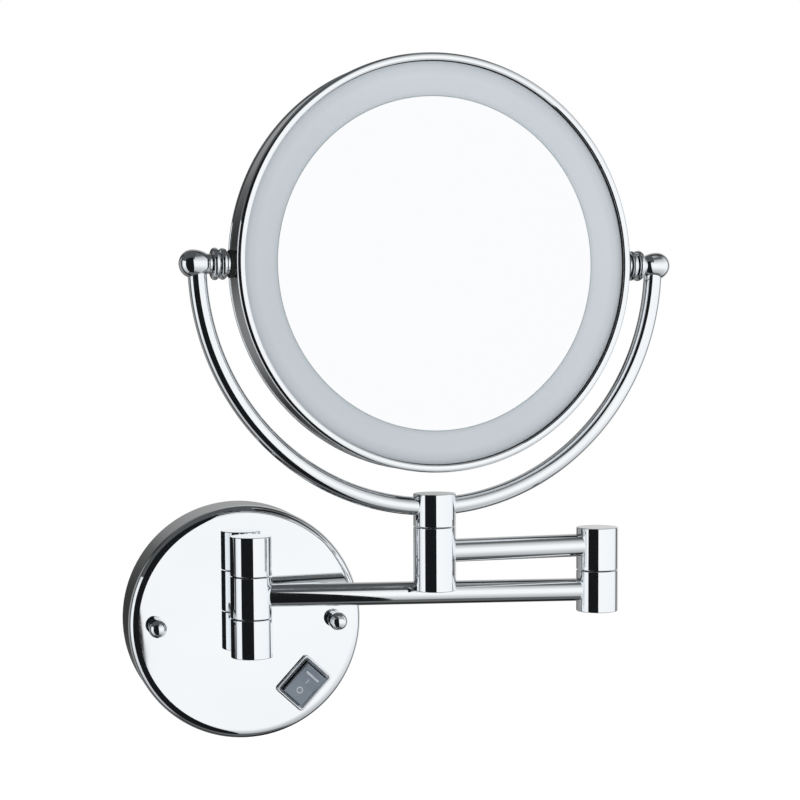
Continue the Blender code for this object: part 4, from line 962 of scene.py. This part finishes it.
def studio_world():
    """White room in front and at the sides, darker behind and overhead, as a product studio has."""
    world = bpy.data.worlds.new("studio")
    bpy.context.scene.world = world
    world.use_nodes = True
    tree = world.node_tree
    tree.nodes.clear()
    link = tree.links.new
    coordinates = tree.nodes.new("ShaderNodeTexCoord")
    split = tree.nodes.new("ShaderNodeSeparateXYZ")
    link(coordinates.outputs["Generated"], split.inputs["Vector"])

    def ramp(source, stops):
        node = tree.nodes.new("ShaderNodeValToRGB")
        elements = node.color_ramp.elements
        while len(elements) > 1:
            elements.remove(elements[-1])
        for index, (position, value) in enumerate(stops):
            element = elements[0] if index == 0 else elements.new(position)
            element.position = position
            element.color = (*value, 1.0) if isinstance(value, tuple) else (value, value, value, 1.0)
        link(source, node.inputs["Fac"])
        return node.outputs["Color"]

    def calculate(operation, *values):
        node = tree.nodes.new("ShaderNodeMath")
        node.operation = operation
        for socket, value in zip(node.inputs, values):
            if isinstance(value, float):
                socket.default_value = value
            else:
                link(value, socket)
        return node.outputs["Value"]

    def mix(amount, first, second, blend="MIX"):
        node = tree.nodes.new("ShaderNodeMixRGB")
        node.blend_type = blend
        for socket, value in zip(node.inputs, (amount, first, second)):
            if isinstance(value, float):
                socket.default_value = value
            else:
                link(value, socket)
        return node.outputs["Color"]

    front = calculate("MULTIPLY_ADD", split.outputs["Y"], -0.5, 0.5)
    behind_x = calculate("MULTIPLY", split.outputs["X"], 1.2)
    behind_z = calculate("MULTIPLY", split.outputs["Z"], 0.8)
    behind_level = calculate("ADD", calculate("ADD", behind_x, behind_z), 0.5)
    behind = ramp(behind_level, [(0.0, 0.30), (0.10, 0.10), (0.2, 0.035), (0.26, 0.045),
                                 (0.42, 0.12), (0.52, 0.22), (0.64, 0.29), (0.82, 0.38),
                                 (1.0, 0.66)])
    walls = ramp(front, [(0.40, (0.80, 0.83, 0.86)), (0.55, (0.95, 0.97, 1.0)),
                         (1.0, (1.0, 1.0, 1.0))])
    facing = ramp(front, [(0.36, 0.0), (0.42, 1.0)])
    seam = ramp(front, [(0.24, 1.0), (0.27, 0.12), (0.37, 0.12), (0.41, 1.0)])
    room = mix(facing, behind, walls)
    room = mix(1.0, room, seam, "MULTIPLY")
    height = calculate("MULTIPLY_ADD", split.outputs["Z"], 0.5, 0.5)
    levels = ramp(height, [(0.0, 0.14), (0.045, 0.12), (0.07, 0.50), (0.18, 0.66), (0.30, 0.86),
                           (0.39, 1.0), (0.62, 1.0), (0.72, 0.80), (0.84, 0.58), (0.89, 0.34),
                           (0.925, 0.13), (0.965, 0.13), (1.0, 0.45)])
    room = mix(1.0, room, levels, "MULTIPLY")
    studio = tree.nodes.new("ShaderNodeBackground")
    link(room, studio.inputs["Color"])
    studio.inputs["Strength"].default_value = 1.0
    backdrop = tree.nodes.new("ShaderNodeBackground")
    backdrop.inputs["Color"].default_value = (1.0, 1.0, 1.0, 1.0)
    backdrop.inputs["Strength"].default_value = 1.0
    path = tree.nodes.new("ShaderNodeLightPath")
    both = tree.nodes.new("ShaderNodeMixShader")
    link(path.outputs["Is Camera Ray"], both.inputs["Fac"])
    link(studio.outputs["Background"], both.inputs[1])
    link(backdrop.outputs["Background"], both.inputs[2])
    output = tree.nodes.new("ShaderNodeOutputWorld")
    link(both.outputs["Shader"], output.inputs["Surface"])


def panel(name, corners, material):
    """A flat four-cornered sheet that belongs to the studio."""
    mesh = bpy.data.meshes.new(name)
    mesh.from_pydata(corners, [], [(0, 1, 2, 3)])
    sheet = bpy.data.objects.new(name, mesh)
    bpy.context.scene.collection.objects.link(sheet)
    mesh.materials.append(material)
    return sheet


def glowing(name, colour, roughness, glow, strength):
    """A matt studio sheet's finish with a little light of its own."""
    material, _, shader = finish(name, colour, 0.0, roughness)
    shader.inputs["Emission Color"].default_value = (*glow, 1.0)
    shader.inputs["Emission Strength"].default_value = strength
    return material, shader


def pale_floor():
    """Pale floor, far enough below that the underside can be seen."""
    white, _ = glowing("floor_white", (0.92, 0.92, 0.92), 0.8, (1.0, 1.0, 1.0), 0.75)
    low = cad_box[0].z - 1.3
    reach = 8.0
    sheet = panel("floor", [(-reach, -reach, low), (reach, -reach, low), (reach, reach, low),
                            (-reach, reach, low)], white)
    sheet.visible_glossy = False


def dark_card():
    """Black card beside the camera, which draws the black line down the chrome."""
    black, shader = glowing("card_black", (0.004, 0.004, 0.005), 0.9, (0.85, 0.92, 1.0), 0.008)
    shader.inputs["Specular IOR Level"].default_value = 0.0
    near_y, middle_x, lean = -0.775, 0.015, 0.10
    far = (-1.3, -0.62)
    bottom, top = -2.6, 2.2
    card = panel("dark_card", [(middle_x - lean * bottom, near_y, bottom), (*far, bottom),
                               (*far, top), (middle_x - lean * top, near_y, top)], black)
    card.visible_camera = False
    card.visible_shadow = False


def dark_roof():
    """Dark sheet overhead, which darkens the barrels' tops."""
    grey, shader = glowing("card_grey", (0.004, 0.004, 0.005), 0.9, (0.9, 0.95, 1.0), 0.09)
    shader.inputs["Specular IOR Level"].default_value = 0.0
    left, front, back, height = -2.5, -1.4, 0.6, 1.0
    right_front, right_back = 0.15, 0.27
    roof = panel("dark_roof", [(left, front, height), (right_front, front, height),
                               (right_back, back, height), (left, back, height)], grey)
    roof.visible_camera = False
    roof.visible_diffuse = False
    roof.visible_shadow = False


def camera():
    """Camera with a long lens, slightly left of the object."""
    data = bpy.data.cameras.new("camera")
    data.sensor_fit = "HORIZONTAL"
    data.sensor_width = CAMERA_SENSOR
    data.lens = CAMERA_LENS
    data.shift_x, data.shift_y = CAMERA_SHIFT
    data.clip_start = 0.02
    holder = bpy.data.objects.new("camera", data)
    bpy.context.scene.collection.objects.link(holder)
    holder.matrix_world = (
        Matrix.Translation(CAMERA_PLACE)
        @ Matrix.Rotation(-CAMERA_YAW, 4, "Z")
        @ Matrix.Rotation(radians(90) + CAMERA_PITCH, 4, "X")
        @ Matrix.Rotation(CAMERA_ROLL, 4, "Z")
    )
    bpy.context.scene.camera = holder
    settings = bpy.context.scene.view_settings
    settings.view_transform = "Standard"
    settings.look = "None"


# ---------------------------------------------------------------- assembly

finish_nodes()
wall_cover()
wall_bracket()
cable_grommet()
switch_frame()
switch_body()
switch_rocker()
barrel("hinge_barrel_upper", HINGE, "wall_unit")
barrel("hinge_barrel_lower", HINGE, "wall_unit", "hinge_cap")
barrel("lower_arm_barrel", HINGE, "lower_arm")
barrel("elbow_barrel_lower", ELBOW, "lower_arm", "elbow_cap")
barrel("elbow_barrel_upper", ELBOW, "upper_arm")
barrel("post_barrel", POST, "upper_arm", "post_cap")
barrel("yoke_barrel", POST, "yoke")
end_cap("hinge_cap", HINGE, "wall_unit")
end_cap("elbow_cap", ELBOW, "lower_arm")
end_cap("post_cap", POST, "upper_arm")
arm_tube("lower_arm_tube", HINGE, "lower_arm")
arm_tube("upper_arm_tube", ELBOW, "upper_arm")
for part_side, part_sign in (("left", -1), ("right", 1)):
    cap_nut(part_side)
    hoop_tube(part_side, part_sign)
    finial(part_side, part_sign)
    pivot_disc(part_side, part_sign)
    head_boss(part_side, part_sign)
for part_side in ("upper", "lower"):
    hinge_stub(part_side)
head_band()
bezel("front_bezel", FORWARD)
bezel("rear_bezel", -FORWARD)
front_glass()
light_diffuser()
groove_shade_ring()
rear_glass()
studio_world()
pale_floor()
dark_card()
dark_roof()
camera()
